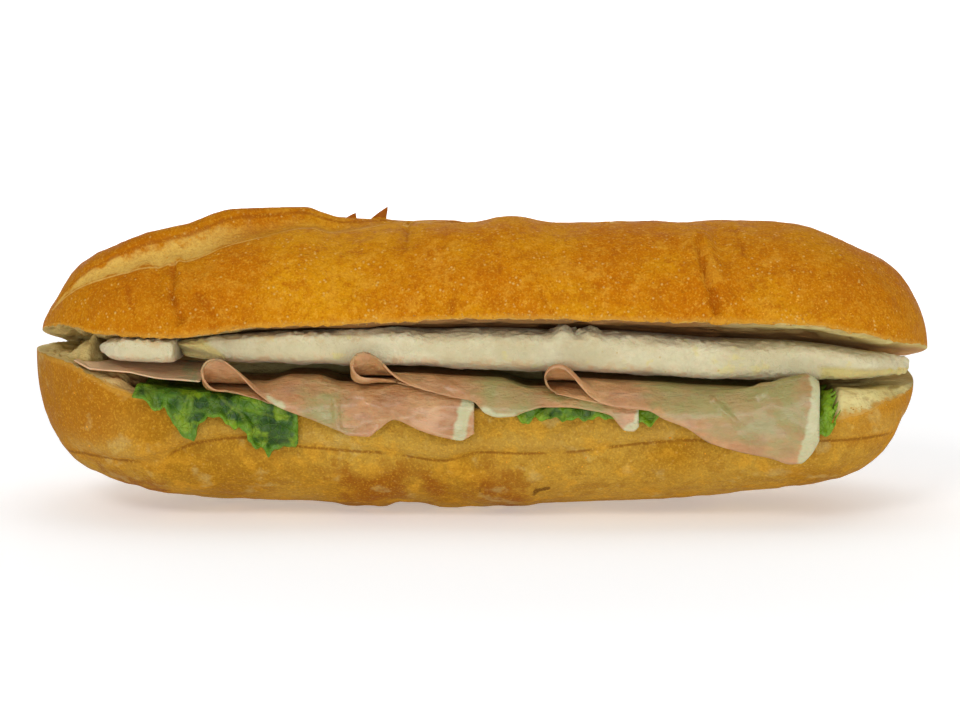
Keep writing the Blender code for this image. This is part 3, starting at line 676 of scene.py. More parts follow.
def feed(tree, socket, value):
    """Links a socket if it is given one, and otherwise sets the number or colour on it."""
    if isinstance(value, bpy.types.NodeSocket):
        tree.links.new(value, socket)
    else:
        socket.default_value = value


def noise(tree, where, size, detail=3.0, rough=0.55):
    node = tree.nodes.new("ShaderNodeTexNoise")
    feed(tree, node.inputs["Vector"], where)
    node.inputs["Scale"].default_value = 1 / size
    node.inputs["Detail"].default_value = detail
    node.inputs["Roughness"].default_value = rough
    return node.outputs["Fac"]


def cells(tree, where, size, feature="F1", randomness=1.0):
    node = tree.nodes.new("ShaderNodeTexVoronoi")
    node.feature = feature
    feed(tree, node.inputs["Vector"], where)
    node.inputs["Scale"].default_value = 1 / size
    node.inputs["Randomness"].default_value = randomness
    return node.outputs["Distance"]


def fit(tree, value, low, high, to_low=0.0, to_high=1.0):
    """Smoothly maps low to high onto two other numbers."""
    node = tree.nodes.new("ShaderNodeMapRange")
    node.interpolation_type = "SMOOTHSTEP"
    feed(tree, node.inputs["Value"], value)
    node.inputs["From Min"].default_value = low
    node.inputs["From Max"].default_value = high
    node.inputs["To Min"].default_value = to_low
    node.inputs["To Max"].default_value = to_high
    return node.outputs["Result"]


def sums(tree, operation, first, second=0.0):
    node = tree.nodes.new("ShaderNodeMath")
    node.operation = operation
    feed(tree, node.inputs[0], first)
    feed(tree, node.inputs[1], second)
    return node.outputs[0]


def blend(tree, share, first, second, how="MIX"):
    node = tree.nodes.new("ShaderNodeMix")
    node.data_type = "RGBA"
    node.blend_type = how
    feed(tree, node.inputs[0], share)
    feed(tree, node.inputs[6], first)
    feed(tree, node.inputs[7], second)
    return node.outputs[2]


def marked(tree, name):
    node = tree.nodes.new("ShaderNodeAttribute")
    node.attribute_name = name
    return node.outputs["Fac"]


def where_x(tree, where):
    node = tree.nodes.new("ShaderNodeSeparateXYZ")
    feed(tree, node.inputs["Vector"], where)
    return node.outputs["X"]


def raised(tree, height, depth, normal=None, strength=1.0):
    """A bump whose depth is in metres."""
    node = tree.nodes.new("ShaderNodeBump")
    node.inputs["Strength"].default_value = strength
    node.inputs["Distance"].default_value = depth
    feed(tree, node.inputs["Height"], height)
    if normal is not None:
        feed(tree, node.inputs["Normal"], normal)
    return node.outputs["Normal"]


def start_material(name, roughness, specular=0.5):
    """A new material with its tree, its shader and the object's own coordinates."""
    material = bpy.data.materials.new(name)
    material.use_nodes = True
    tree = material.node_tree
    shader = tree.nodes["Principled BSDF"]
    shader.inputs["Roughness"].default_value = roughness
    shader.inputs["Specular IOR Level"].default_value = specular
    where = tree.nodes.new("ShaderNodeTexCoord").outputs["Object"]
    return material, tree, shader, where


# %% [markdown]
# ### Crust
# Baked crust runs from straw to amber to chestnut. Broad noise gives that drift, and small cells give the
# pale pin-prick blisters. The upper half is the deeper amber; the lower half is tanner, with browner patches
# and deeper orange near its ends. The creases of the upper crust are darkened with painted shade. The score
# bands are paler, with a painted highlight along their front edge and a thin browned edge behind. The fold
# gets a fine line of painted shade with a painted highlight on its upper lip, and the crack is a dark line of
# painted shade. These are drawn from distances on the points, so they stay sharp.

# %% Crust material
def crust_material():
    material, tree, shader, where = start_material("baked crust", 0.6, 0.03)
    broad = fit(tree, noise(tree, where, 24 * MM, 2), 0.35, 0.65)
    middle = fit(tree, noise(tree, where, 6 * MM, 4, 0.6), 0.3, 0.7)
    fine = noise(tree, where, 1.2 * MM, 3, 0.6)
    upper = marked(tree, "upper")
    top = blend(tree, broad, screen(190, 112, 4), screen(206, 140, 12))
    base = blend(tree, broad, screen(162, 114, 24), screen(182, 142, 54))
    topside = fit(tree, upper, 0, 1)
    colour = blend(tree, topside, base, top)
    baked = blend(tree, topside, screen(146, 98, 22), screen(172, 92, 6))
    colour = blend(tree, fit(tree, middle, 0.5, 1.0, 0, 0.5), colour, baked)
    colour = blend(tree, fit(tree, middle, 0.4, 0.0, 0, 0.4), colour, screen(222, 162, 48))
    peel = noise(tree, where, 2.2 * MM, 3, 0.6)
    strong = fit(tree, upper, 0, 1, 0.4, 1)
    light = sums(tree, "MULTIPLY", fit(tree, peel, 0.52, 0.7, 0, 0.4), strong)
    colour = blend(tree, light, colour, screen(222, 162, 54))
    colour = blend(tree, sums(tree, "MULTIPLY", fit(tree, peel, 0.47, 0.3, 0, 0.5), strong), colour, baked)
    left = fit(tree, where_x(tree, where), -45 * MM, -88 * MM, 0, 0.5)
    colour = blend(tree, sums(tree, "MULTIPLY", left, topside), colour, screen(172, 98, 6))
    right = fit(tree, where_x(tree, where), 56 * MM, 100 * MM, 0, 0.4)
    colour = blend(tree, sums(tree, "MULTIPLY", right, topside), colour, screen(176, 104, 14))
    lower_share = fit(tree, upper, 1, 0)
    above_fold = fit(tree, marked(tree, "fold"), -5, 2, 0.2, 1)
    end_share = sums(tree, "MULTIPLY", lower_share, above_fold)
    right = fit(tree, where_x(tree, where), 78 * MM, 108 * MM, 0, 0.6)
    colour = blend(tree, sums(tree, "MULTIPLY", right, end_share), colour, screen(198, 126, 20))
    left = fit(tree, where_x(tree, where), -76 * MM, -104 * MM, 0, 0.75)
    colour = blend(tree, sums(tree, "MULTIPLY", left, end_share), colour, screen(168, 102, 18))
    patch = sums(tree, "MULTIPLY", fit(tree, noise(tree, where, 13 * MM, 4), 0.54, 0.68), lower_share)
    colour = blend(tree, sums(tree, "MULTIPLY", patch, 0.35), colour, screen(158, 102, 26))
    wavy = sums(tree, "ADD", marked(tree, "dent"), fit(tree, middle, 0, 1, -2, 2))
    brown = sums(tree, "MULTIPLY", fit(tree, wavy, -3.5, 3.5), lower_share)
    colour = blend(tree, sums(tree, "MULTIPLY", brown, 0.85), colour, screen(142, 80, 14))
    floury = sums(tree, "MULTIPLY", fit(tree, noise(tree, where, 8 * MM, 3), 0.58, 0.7), lower_share)
    colour = blend(tree, sums(tree, "MULTIPLY", floury, 0.45), colour, screen(196, 172, 104))
    slash = marked(tree, "slash")
    band = sums(tree, "ADD", slash, fit(tree, middle, 0, 1, -1.2, 1.2))
    band = fit(tree, band, -0.2, 2.4, 0, 0.85)
    fading = fit(tree, where_x(tree, where), -58 * MM, -76 * MM, 0.15, 1)
    colour = blend(tree, sums(tree, "MULTIPLY", band, fading), colour, screen(222, 184, 92))
    # Painted highlight: a pale line along the front edge of each score; the edge behind it is browned.
    lip = fit(tree, sums(tree, "ABSOLUTE", sums(tree, "ADD", slash, 0.3)), 0.7, 0.1, 0, 0.6)
    colour = blend(tree, sums(tree, "MULTIPLY", lip, marked(tree, "lower_edge")), colour, screen(234, 194, 106))
    shade = sums(tree, "SUBTRACT", lip, sums(tree, "MULTIPLY", lip, marked(tree, "lower_edge")))
    colour = blend(tree, shade, colour, screen(150, 78, 10))
    # Painted shade: the creases of the upper crust are darkened.
    dent = sums(tree, "ADD", marked(tree, "dent"), fit(tree, middle, 0, 1, -0.5, 0.5))
    dent = sums(tree, "MULTIPLY", fit(tree, dent, 0.2, 1.9, 0, 0.65), topside)
    colour = blend(tree, dent, colour, screen(156, 78, 4))
    # Painted shade: the crack in the lower crust is only a dark line.
    crack = fit(tree, marked(tree, "crack"), -0.15, 0.15, 0, 0.85)
    colour = blend(tree, crack, colour, screen(84, 48, 14))
    # Painted highlight: the upper lip of the lower crust's fold is paler.
    pale = sums(tree, "MULTIPLY", fit(tree, marked(tree, "fold"), 0.2, 1.4), fit(tree, marked(tree, "fold"), 8, 3))
    pale = sums(tree, "MULTIPLY", sums(tree, "MULTIPLY", pale, marked(tree, "front")), fit(tree, middle, 0, 1, 0.15, 0.5))
    colour = blend(tree, pale, colour, screen(190, 156, 74))
    # Painted shade: a fine dark line along the fold.
    line = fit(tree, sums(tree, "ABSOLUTE", marked(tree, "fold")), 0.6, 0.1, 0, 0.75)
    line = sums(tree, "MULTIPLY", line, marked(tree, "front"))
    line = sums(tree, "MULTIPLY", line, fit(tree, noise(tree, where, 12 * MM, 2), 0.36, 0.5))
    colour = blend(tree, line, colour, screen(122, 74, 20))
    colour = blend(tree, fit(tree, fine, 0.35, 0.6, 0.25, 0), colour, baked)
    grain = noise(tree, where, 0.55 * MM, 2, 0.6)
    colour = blend(tree, fit(tree, grain, 0.52, 0.68, 0, 0.3), colour, screen(230, 176, 56))
    colour = blend(tree, fit(tree, grain, 0.46, 0.34, 0, 0.22), colour, screen(150, 84, 6))
    specks = fit(tree, cells(tree, where, 1.5 * MM), 0.3, 0.12)
    rare = fit(tree, noise(tree, where, 4.5 * MM, 2), 0.48, 0.62)
    specks = sums(tree, "MULTIPLY", sums(tree, "MULTIPLY", specks, rare), strong)
    colour = blend(tree, sums(tree, "MULTIPLY", specks, 0.55), colour, screen(232, 188, 104))
    thin = fit(tree, marked(tree, "rim"), 2.2, 0.2, 0, 0.55)
    colour = blend(tree, thin, colour, screen(202, 150, 58))
    flake = fit(tree, upper, 1.4, 1.8, 0, 0.8)
    colour = blend(tree, flake, colour, screen(150, 78, 26))
    feed(tree, shader.inputs["Base Color"], colour)
    feed(tree, shader.inputs["Roughness"], fit(tree, middle, 0, 1, 0.75, 0.55))
    height = raised(tree, noise(tree, where, 3.4 * MM, 4, 0.6), 0.7 * MM)
    height = raised(tree, fine, 0.4 * MM, height)
    height = raised(tree, grain, 0.25 * MM, height)
    feed(tree, shader.inputs["Normal"], raised(tree, specks, 0.12 * MM, height))
    return material


crust = crust_material()
print("crust nodes:", len(crust.node_tree.nodes))

# %% [markdown]
# ### Crumb
# The crumb is pale cream and full of pores stretched along the roll; the pores are darkened with painted shade.
# Towards the left tip it is painted warmer and browner, as painted shade, and the upper cut face, under the top,
# gets browner painted shade, most of all further in. A thin golden line runs along the rim, where the knife went
# through the crust itself.

# %% Crumb material
def crumb_material():
    material, tree, shader, where = start_material("open crumb", 0.85, 0.25)
    stretch = tree.nodes.new("ShaderNodeMapping")
    feed(tree, stretch.inputs["Vector"], where)
    stretch.inputs["Scale"].default_value = (0.3, 1, 1)
    along = stretch.outputs["Vector"]
    broad = fit(tree, noise(tree, where, 12 * MM, 3), 0.35, 0.65)
    colour = blend(tree, broad, screen(200, 178, 106), screen(218, 202, 138))
    # Painted shade: the crumb towards the left tip is warmer and browner.
    left_tip_shade = fit(tree, where_x(tree, where), -60 * MM, -88 * MM, 0, 0.7)
    left_tip_shade = sums(tree, "MULTIPLY", left_tip_shade, fit(tree, where_x(tree, where), -104 * MM, -92 * MM, 0.3, 1))
    colour = blend(tree, left_tip_shade, colour, screen(206, 160, 98))
    # Painted shade: the upper cut face, seen from below, is browner further in.
    upper = fit(tree, marked(tree, "upper"), 0.3, 0.7)
    shown = sums(tree, "MULTIPLY", fit(tree, where_x(tree, where), -78 * MM, -48 * MM), upper)
    inner = sums(tree, "MULTIPLY", fit(tree, marked(tree, "rim"), 9, 22, 0, 0.75), shown)
    colour = blend(tree, inner, colour, screen(176, 116, 62))
    # Painted shade: the pores, large and small, are darker.
    pores = sums(tree, "MULTIPLY", fit(tree, cells(tree, along, 1.9 * MM), 0.42, 0.2),
                 fit(tree, noise(tree, along, 4 * MM, 3), 0.46, 0.6))
    small = fit(tree, cells(tree, along, 0.8 * MM), 0.4, 0.2)
    colour = blend(tree, sums(tree, "MULTIPLY", pores, 0.4), colour, screen(150, 112, 52))
    colour = blend(tree, sums(tree, "MULTIPLY", small, 0.25), colour, screen(160, 124, 62))
    rim = sums(tree, "ADD", marked(tree, "rim"), fit(tree, noise(tree, where, 2 * MM), 0.3, 0.7, -0.6, 0.6))
    colour = blend(tree, fit(tree, rim, 1.8, 0.6, 0, 0.8), colour, screen(200, 146, 54))
    # Painted shade: most of the upper cut face, in the dark gap under the top, is brown.
    gap_shade = sums(tree, "MULTIPLY", fit(tree, where_x(tree, where), 80 * MM, 52 * MM, 0, 0.85), shown)
    gap_shade = sums(tree, "MULTIPLY", gap_shade, fit(tree, rim, 0.3, 1.2))
    colour = blend(tree, gap_shade, colour, screen(140, 88, 42))
    feed(tree, shader.inputs["Base Color"], colour)
    shader.inputs["Subsurface Weight"].default_value = 0.15
    shader.inputs["Subsurface Scale"].default_value = 2 * MM
    normal = raised(tree, cells(tree, along, 1.9 * MM, "SMOOTH_F1"), 0.5 * MM)
    feed(tree, shader.inputs["Normal"], raised(tree, noise(tree, where, 0.7 * MM, 3), 0.35 * MM, normal))
    return material


crumb = crumb_material()
roll.data.materials[0] = crust
roll.data.materials[1] = crumb
roll.data.shade_smooth()
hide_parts("roll")
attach(roll, "root")
print("crumb nodes:", len(crumb.node_tree.nodes))

# %% [markdown]
# ### Blisters and crumbs
# Tiny raised blisters catch the light all over the crust. Nobody places those by hand: a Geometry Nodes tree
# scatters them. It picks points on the faces, puts a flattened little ball on each, turned to lie on the
# surface, and makes real geometry of it at the end. The same tree sows loose crumbs along the ragged rim.

# %% A tree that sows grains on a surface
def sowing_tree(material):
    """A tree that scatters flattened grains where the mark called sow allows it."""
    tree = bpy.data.node_groups.new("sow grains", "GeometryNodeTree")
    face = tree.interface
    face.new_socket("Surface", in_out="INPUT", socket_type="NodeSocketGeometry")
    for name, kind in (("Density", "Float"), ("Smallest", "Float"), ("Largest", "Float"), ("Flatness", "Float"),
                       ("Seed", "Int")):
        face.new_socket(name, in_out="INPUT", socket_type="NodeSocket" + kind)
    face.new_socket("Grains", in_out="OUTPUT", socket_type="NodeSocketGeometry")
    make = tree.nodes.new
    given, out = make("NodeGroupInput"), make("NodeGroupOutput")
    sow = make("GeometryNodeInputNamedAttribute")
    sow.data_type = "FLOAT"
    sow.inputs["Name"].default_value = "sow"
    density = make("ShaderNodeMath")
    density.operation = "MULTIPLY"
    spread = make("GeometryNodeDistributePointsOnFaces")
    grain = make("GeometryNodeMeshIcoSphere")
    grain.inputs["Subdivisions"].default_value = 2
    size = make("FunctionNodeRandomValue")
    size.data_type = "FLOAT"
    flat = make("ShaderNodeCombineXYZ")
    low, wide = make("ShaderNodeMath"), make("ShaderNodeMath")
    low.operation = wide.operation = "MULTIPLY"
    stretch = make("FunctionNodeRandomValue")
    stretch.data_type = "FLOAT"
    stretch.inputs[2].default_value = 0.7
    stretch.inputs[3].default_value = 1.5
    place = make("GeometryNodeInstanceOnPoints")
    real = make("GeometryNodeRealizeInstances")
    dress = make("GeometryNodeSetMaterial")
    dress.inputs["Material"].default_value = material
    link = tree.links.new
    link(given.outputs["Surface"], spread.inputs["Mesh"])
    link(given.outputs["Density"], density.inputs[0])
    link(sow.outputs["Attribute"], density.inputs[1])
    link(density.outputs[0], spread.inputs["Density"])
    link(given.outputs["Seed"], spread.inputs["Seed"])
    link(given.outputs["Seed"], size.inputs["Seed"])
    link(given.outputs["Smallest"], size.inputs[2])
    link(given.outputs["Largest"], size.inputs[3])
    link(size.outputs[1], low.inputs[0])
    link(given.outputs["Flatness"], low.inputs[1])
    link(size.outputs[1], wide.inputs[0])
    link(stretch.outputs[1], wide.inputs[1])
    link(wide.outputs[0], flat.inputs["X"])
    link(size.outputs[1], flat.inputs["Y"])
    link(low.outputs[0], flat.inputs["Z"])
    link(spread.outputs["Points"], place.inputs["Points"])
    link(spread.outputs["Rotation"], place.inputs["Rotation"])
    link(grain.outputs["Mesh"], place.inputs["Instance"])
    link(flat.outputs["Vector"], place.inputs["Scale"])
    link(place.outputs["Instances"], real.inputs["Geometry"])
    link(real.outputs["Geometry"], dress.inputs["Geometry"])
    link(dress.outputs["Geometry"], out.inputs["Grains"])
    return tree


def sow_grains(name, surface, weights, material, sizes, **inputs):
    """Scatters grains over a copy of a surface and gives them back as one plain object."""
    seat = new_object("seat", surface.copy())
    mark(seat.data, sow=weights)
    sower = seat.modifiers.new("Sow", "NODES")
    sower.node_group = sowing_tree(material)
    wanted = dict(Smallest=sizes[0], Largest=sizes[1], **inputs)
    for item in sower.node_group.interface.items_tree:
        if item.in_out == "INPUT" and item.name in wanted:
            sower[item.identifier] = wanted[item.name]
    bpy.context.view_layer.update()
    mesh = bpy.data.meshes.new_from_object(seat.evaluated_get(bpy.context.evaluated_depsgraph_get()))
    bpy.data.objects.remove(seat)
    mesh.name = name
    mesh.materials.clear()
    mesh.materials.append(material)
    write(mesh, read(mesh))
    mesh.shade_smooth()
    return new_object(name, mesh)


# %% Blister and crumb finishes
def grain_material(name, dark, light, roughness):
    material, tree, shader, where = start_material(name, roughness, 0.1)
    tone = fit(tree, noise(tree, where, 1.6 * MM, 2), 0.35, 0.65)
    feed(tree, shader.inputs["Base Color"], blend(tree, tone, screen(*dark), screen(*light)))
    feed(tree, shader.inputs["Normal"], raised(tree, noise(tree, where, 0.4 * MM, 2), 0.1 * MM))
    return material


blister_skin = grain_material("blister skin", (198, 122, 14), (224, 158, 46), 0.4)
loose_crumb = grain_material("loose crumb", (172, 116, 40), (204, 158, 76), 0.9)


def mark_of(mesh, key):
    values = np.empty(len(mesh.vertices), np.float32)
    mesh.attributes[key].data.foreach_get("value", values)
    return values


# %% Sow them
points = read(roll.data)
crumb_mark, rim_mark = mark_of(roll.data, "crumb"), mark_of(roll.data, "rim")
away_from_ends = smooth_step((116 * MM - np.abs(points[:, 0])) / (4 * MM))
not_below = smooth_step((points[:, 2] - 10 * MM) / (8 * MM))
patchy = smooth_step(lumps(points, 11 * MM, 21) + 0.55)
more_right = 0.12 + 0.88 * smooth_step((points[:, 0] + 60 * MM) / (140 * MM))
on_top = np.where(mark_of(roll.data, "upper") > 0.5, 1.0, 0.35)
blister_weight = (crumb_mark < 0.1) * away_from_ends * not_below * patchy * more_right * on_top
blisters = sow_grains("crust_blisters", roll.data, blister_weight, blister_skin, (0.07 * MM, 0.28 * MM),
                      Density=120000.0, Flatness=0.4, Seed=7)
rim_weight = (rim_mark < 1.6) * away_from_ends * (points[:, 1] < 5 * MM)
crumbs = sow_grains("rim_crumbs", roll.data, rim_weight, loose_crumb, (0.08 * MM, 0.26 * MM),
                    Density=500000.0, Flatness=0.8, Seed=11)
for grains in (blisters, crumbs):
    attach(grains, "root")
    print(grains.name, "faces:", len(grains.data.polygons))

# %% [markdown]
# ## Cheese
# The cheese is a soft slab with a bloomy white rind in front. Its front edge follows the rim of the roll, its
# top is pressed down by the bread, and its rind is slightly furry. The long slab is cut at a slant at the
# left, and at the right its rind overhangs a strip of bare yellow paste.

# %% The cheese's upper line
cheese_edge = track([(-105, 47.6), (-92, 48.8), (-70, 50.5), (-40, 51.2), (-23, 50.8), (-13, 50),
                     (0, 50.3), (12, 50), (19, 49.4), (31, 49.6), (41, 49), (50, 48.2), (60, 47.5),
                     (80, 47.2), (90, 46.6), (99, 45.6), (118, 44)])


def cheese_top(x, y):
    """The top of the cheese: flat, or pressed down where the bread above is lower."""
    free = cheese_edge(x) + 0.6 * CHEESE_TILT * (y - CHEESE_FRONT_Y)
    return np.minimum(free, upper_cut(x, y) - 0.35 * MM)


def torn_rind(x):
    """Two tufts where the rind has torn upwards."""
    return 1.8 * MM * bump(x, 21 * MM, 4 * MM) + 1.2 * MM * bump(x, 28 * MM, 4 * MM)


# %% Slabs with a furry rind
def cheese_slab(name, ends, rings, steps, slant=0.0, tapers=(0.16, 0.16), forward=1.2 * MM):
    """A slab with a rounded rind in front, following the rim; higher tapers make its ends more pointed."""
    seen = {}

    def place(x, turn):
        middle, half = (ends[0] + ends[1]) / 2, (ends[1] - ends[0]) / 2
        taper = np.where(x < middle, tapers[0], tapers[1])
        size = np.maximum(1 - np.abs((x - middle) / half) ** 2, 0) ** taper
        ring = 2 * math.pi * turn
        out = np.sign(np.cos(ring)) * np.abs(np.cos(ring)) ** 0.55 * size
        square = np.where(np.sin(ring) > 0, 0.5 - 0.2 * smooth_step((-20 * MM - x) / (40 * MM)), 0.5)
        up = np.sign(np.sin(ring)) * np.abs(np.sin(ring)) ** square * size
        inset = LOWER_HALF_WIDTH * (1 - cap(x, LOWER_ENDS, LOWER_CAPS))
        front = CHEESE_FRONT_Y - forward * smooth_step((-30 * MM - x) / (25 * MM))
        front = front + np.maximum(inset - 1 * MM, 0) * 0.95
        back = np.minimum(front + CHEESE_DEPTH, (105 * MM - x) * 0.8)
        wobble = 0.35 * MM * np.sin(x / (6 * MM)) + 0.3 * MM * np.sin(x / (11 * MM) + 1)
        y = (front + back) / 2 - out * (back - front) / 2 + wobble * smooth_step(2 * out)
        low, high = cheese_under(x, y), cheese_top(x, y)
        z = (low + high) / 2 + up * (high - low) / 2 + torn_rind(x) * smooth_step(3 * up - 1.2) * (out > 0.2)
        bare = smooth_step((x - 86 * MM) / (3 * MM)) * smooth_step((-0.12 - up) / 0.1) * (out > 0)
        y = y + 1.5 * MM * bare * smooth_step((113 * MM - x) / (8 * MM))
        seen.update(up=up, out=out, bare=bare, x=x)
        return y, z

    mesh, x, _ = ball_mesh(name, ends, rings, steps, place, 0.9)
    points, normals = read(mesh), read(mesh, "normal")
    fuzz = 0.38 * MM * lumps(points * (0.5, 1, 1), 3.4 * MM, 31) + 0.2 * MM * lumps(points, 1.1 * MM, 32)
    rough_top = 0.45 * MM * lumps(points, 1.3 * MM, 34) * smooth_step((seen["up"] - 0.6) * 4)
    fuzz = fuzz + rough_top * (seen["out"] > 0.2)
    tuft = 1.9 * MM * np.maximum(lumps(points, 0.9 * MM, 33), 0) * (seen["up"] > 0.55) * (seen["out"] > 0.3)
    torn = bump(x, 24 * MM, 9 * MM)
    frayed = 0.9 * MM * lumps(points, 1.6 * MM, 35) * smooth_step((x - 104 * MM) / (7 * MM))
    points = points + normals * ((fuzz + tuft * torn + frayed) * smooth_step(seen["out"] * 2))[:, None]
    lean = (points[:, 2] - cheese_bottom(x)) * slant
    near_left = 1 - np.clip((x - ends[0]) / (14 * MM), 0, 1)
    points[:, 0] -= lean * near_left
    if slant:
        low_front = smooth_step(0.6 - 0.6 * seen["up"]) * smooth_step(seen["out"] * 1.4)
        points[:, 0] += 10 * MM * near_left * low_front
    write(mesh, points)
    cut_end = smooth_step(((ends[0] + 9 * MM) - x) / (3 * MM)) if slant else 0
    mark(mesh, up=seen["up"], bare=np.maximum(seen["bare"], cut_end), torn=torn)
    mesh.shade_smooth()
    return new_object(name, mesh)


# %% [markdown]
# ### Rind and paste
# The rind is off-white, matt and lightly mottled, with a few ochre specks and rubbed yellow patches. Its lower
# edge is painted tan as painted shade, and towards the left its top, under the bread, gets tan painted shade too.
# Bare paste is a warmer yellow. A little light goes through it, which subsurface scattering gives.

# %% Cheese material
def cheese_material():
    material, tree, shader, where = start_material("bloomy rind and paste", 0.72, 0.3)
    up = marked(tree, "up")
    mottled = fit(tree, noise(tree, where, 3.4 * MM, 5, 0.65), 0.35, 0.65)
    broad = fit(tree, noise(tree, where, 16 * MM, 2), 0.35, 0.65)
    colour = blend(tree, broad, screen(206, 195, 156), screen(220, 212, 176))
    colour = blend(tree, sums(tree, "MULTIPLY", mottled, 0.35), colour, screen(188, 176, 134))
    # Painted shade: the lower edge of the rind is tan.
    low = sums(tree, "ADD", up, fit(tree, mottled, 0, 1, -0.3, 0.3))
    colour = blend(tree, fit(tree, low, -0.4, -1.0, 0, 0.6), colour, screen(206, 164, 114))
    # Painted shade: towards the left the top of the rind, under the bread, is tan.
    shade_under_bread = fit(tree, where_x(tree, where), 0, -60 * MM, 0.12, 0.5)
    shade_under_bread = sums(tree, "MULTIPLY", shade_under_bread, fit(tree, low, 0.3, 1.0))
    colour = blend(tree, shade_under_bread, colour, screen(200, 160, 92))
    rubbed = fit(tree, noise(tree, where, 7 * MM, 4), 0.6, 0.68)
    colour = blend(tree, sums(tree, "MULTIPLY", rubbed, 0.5), colour, screen(214, 200, 118))
    specks = sums(tree, "MULTIPLY", fit(tree, cells(tree, where, 3.1 * MM), 0.14, 0.05),
                  fit(tree, noise(tree, where, 9 * MM), 0.5, 0.6))
    colour = blend(tree, sums(tree, "MULTIPLY", specks, 0.6), colour, screen(186, 142, 50))
    colour = blend(tree, sums(tree, "MULTIPLY", marked(tree, "bare"), 0.85), colour, screen(206, 188, 112))
    feed(tree, shader.inputs["Base Color"], colour)
    shader.inputs["Subsurface Weight"].default_value = 0.25
    shader.inputs["Subsurface Scale"].default_value = 2.5 * MM
    shader.inputs["Sheen Weight"].default_value = 0.15
    normal = raised(tree, noise(tree, where, 1.5 * MM, 4, 0.65), 0.8 * MM)
    feed(tree, shader.inputs["Normal"], raised(tree, noise(tree, where, 0.45 * MM, 3), 0.2 * MM, normal))
    return material


cheese = cheese_material()
long_slab = cheese_slab("cheese_slab_long", (-78 * MM, 114 * MM), 420, 96, 0.5, (0.1, 0.24))
short_slab = cheese_slab("cheese_slab_short", (-100.5 * MM, -79.4 * MM), 110, 90, 0, (0.62, 0.04), 2.2 * MM)
for slab, node in ((long_slab, "cheese_long"), (short_slab, "cheese_short")):
    slab.data.materials.append(cheese)
    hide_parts(node)
    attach(slab, "root")
    print(slab.name, "faces:", len(slab.data.polygons))

# %% [markdown]
# ## Ham and lettuce: sheets that drape
# A slice or a leaf is a thin sheet that lies between crumb and cheese and then hangs over the rim. Cloth
# simulation could drape it, but the folds in the photograph are particular ones, so a rule places them: a
# line from inside the mouth, over the rim and down to the hem. A grid follows that rule, and then it gets two
# skins, a top and a bottom, that close up at a thin edge.

# %% The draping line
HAM_INNER_Y = -8 * MM
SHOULDER_Y = -30 * MM
FOLD_SHARE = 0.36
FLAP_DROP = 0.14
FLAP_INSET = 1.3 * MM
ARCH_Y = -32.8 * MM


def front_of_crust(x, height):
    """The y of the lower half's front at a height, or of its rim above that; and the rim's height."""
    width = LOWER_HALF_WIDTH * cap(x, LOWER_ENDS, LOWER_CAPS)
    rim = hinge_z(x) - lower_slope(x) * (HINGE_Y + width)
    bottom = floor_height(x)
    depth = 1 - np.clip((height - bottom) / np.maximum(rim - bottom, 1 * MM), 0, 1)
    relief = lower_relief(x, height, 1) * smooth_step(depth / 0.25)
    return -width * np.sqrt(np.maximum(1 - depth**LOWER_SQUARENESS, 0)) - relief, rim


def between(x, y, share):
    """A height in the gap that the fillings have: 0 is the crumb below and 1 is the cheese above."""
    crumb_height = lower_cut(x, np.maximum(y, -LOWER_HALF_WIDTH * cap(x, LOWER_ENDS, LOWER_CAPS)))
    return crumb_height + (cheese_under(x, y) - crumb_height) * share


def drape(x, t, share, stand_off, hem):
    """A line that runs out of the mouth and down over the rim: t is 0 inside and 1 at the hem."""
    inside = np.clip(t / FOLD_SHARE, 0, 1)
    outside = np.clip((t - FOLD_SHARE) / (1 - FOLD_SHARE), 0, 1) * math.pi / 2
    y_in = HAM_INNER_Y + (SHOULDER_Y - HAM_INNER_Y) * inside
    shoulder = between(x, SHOULDER_Y, share)
    drop = (shoulder - hem) * (1 - np.cos(outside))
    z_out = shoulder - drop
    crust_y, rim = front_of_crust(x, z_out)
    round_off = np.sqrt(1 - (1 - np.clip(drop / np.maximum(shoulder - rim, 1 * MM), 0, 1)) ** 2)
    y_out = SHOULDER_Y + np.minimum(crust_y - stand_off - SHOULDER_Y, 0) * round_off
    return np.where(t < FOLD_SHARE, y_in, y_out), np.where(t < FOLD_SHARE, between(x, y_in, share), z_out)


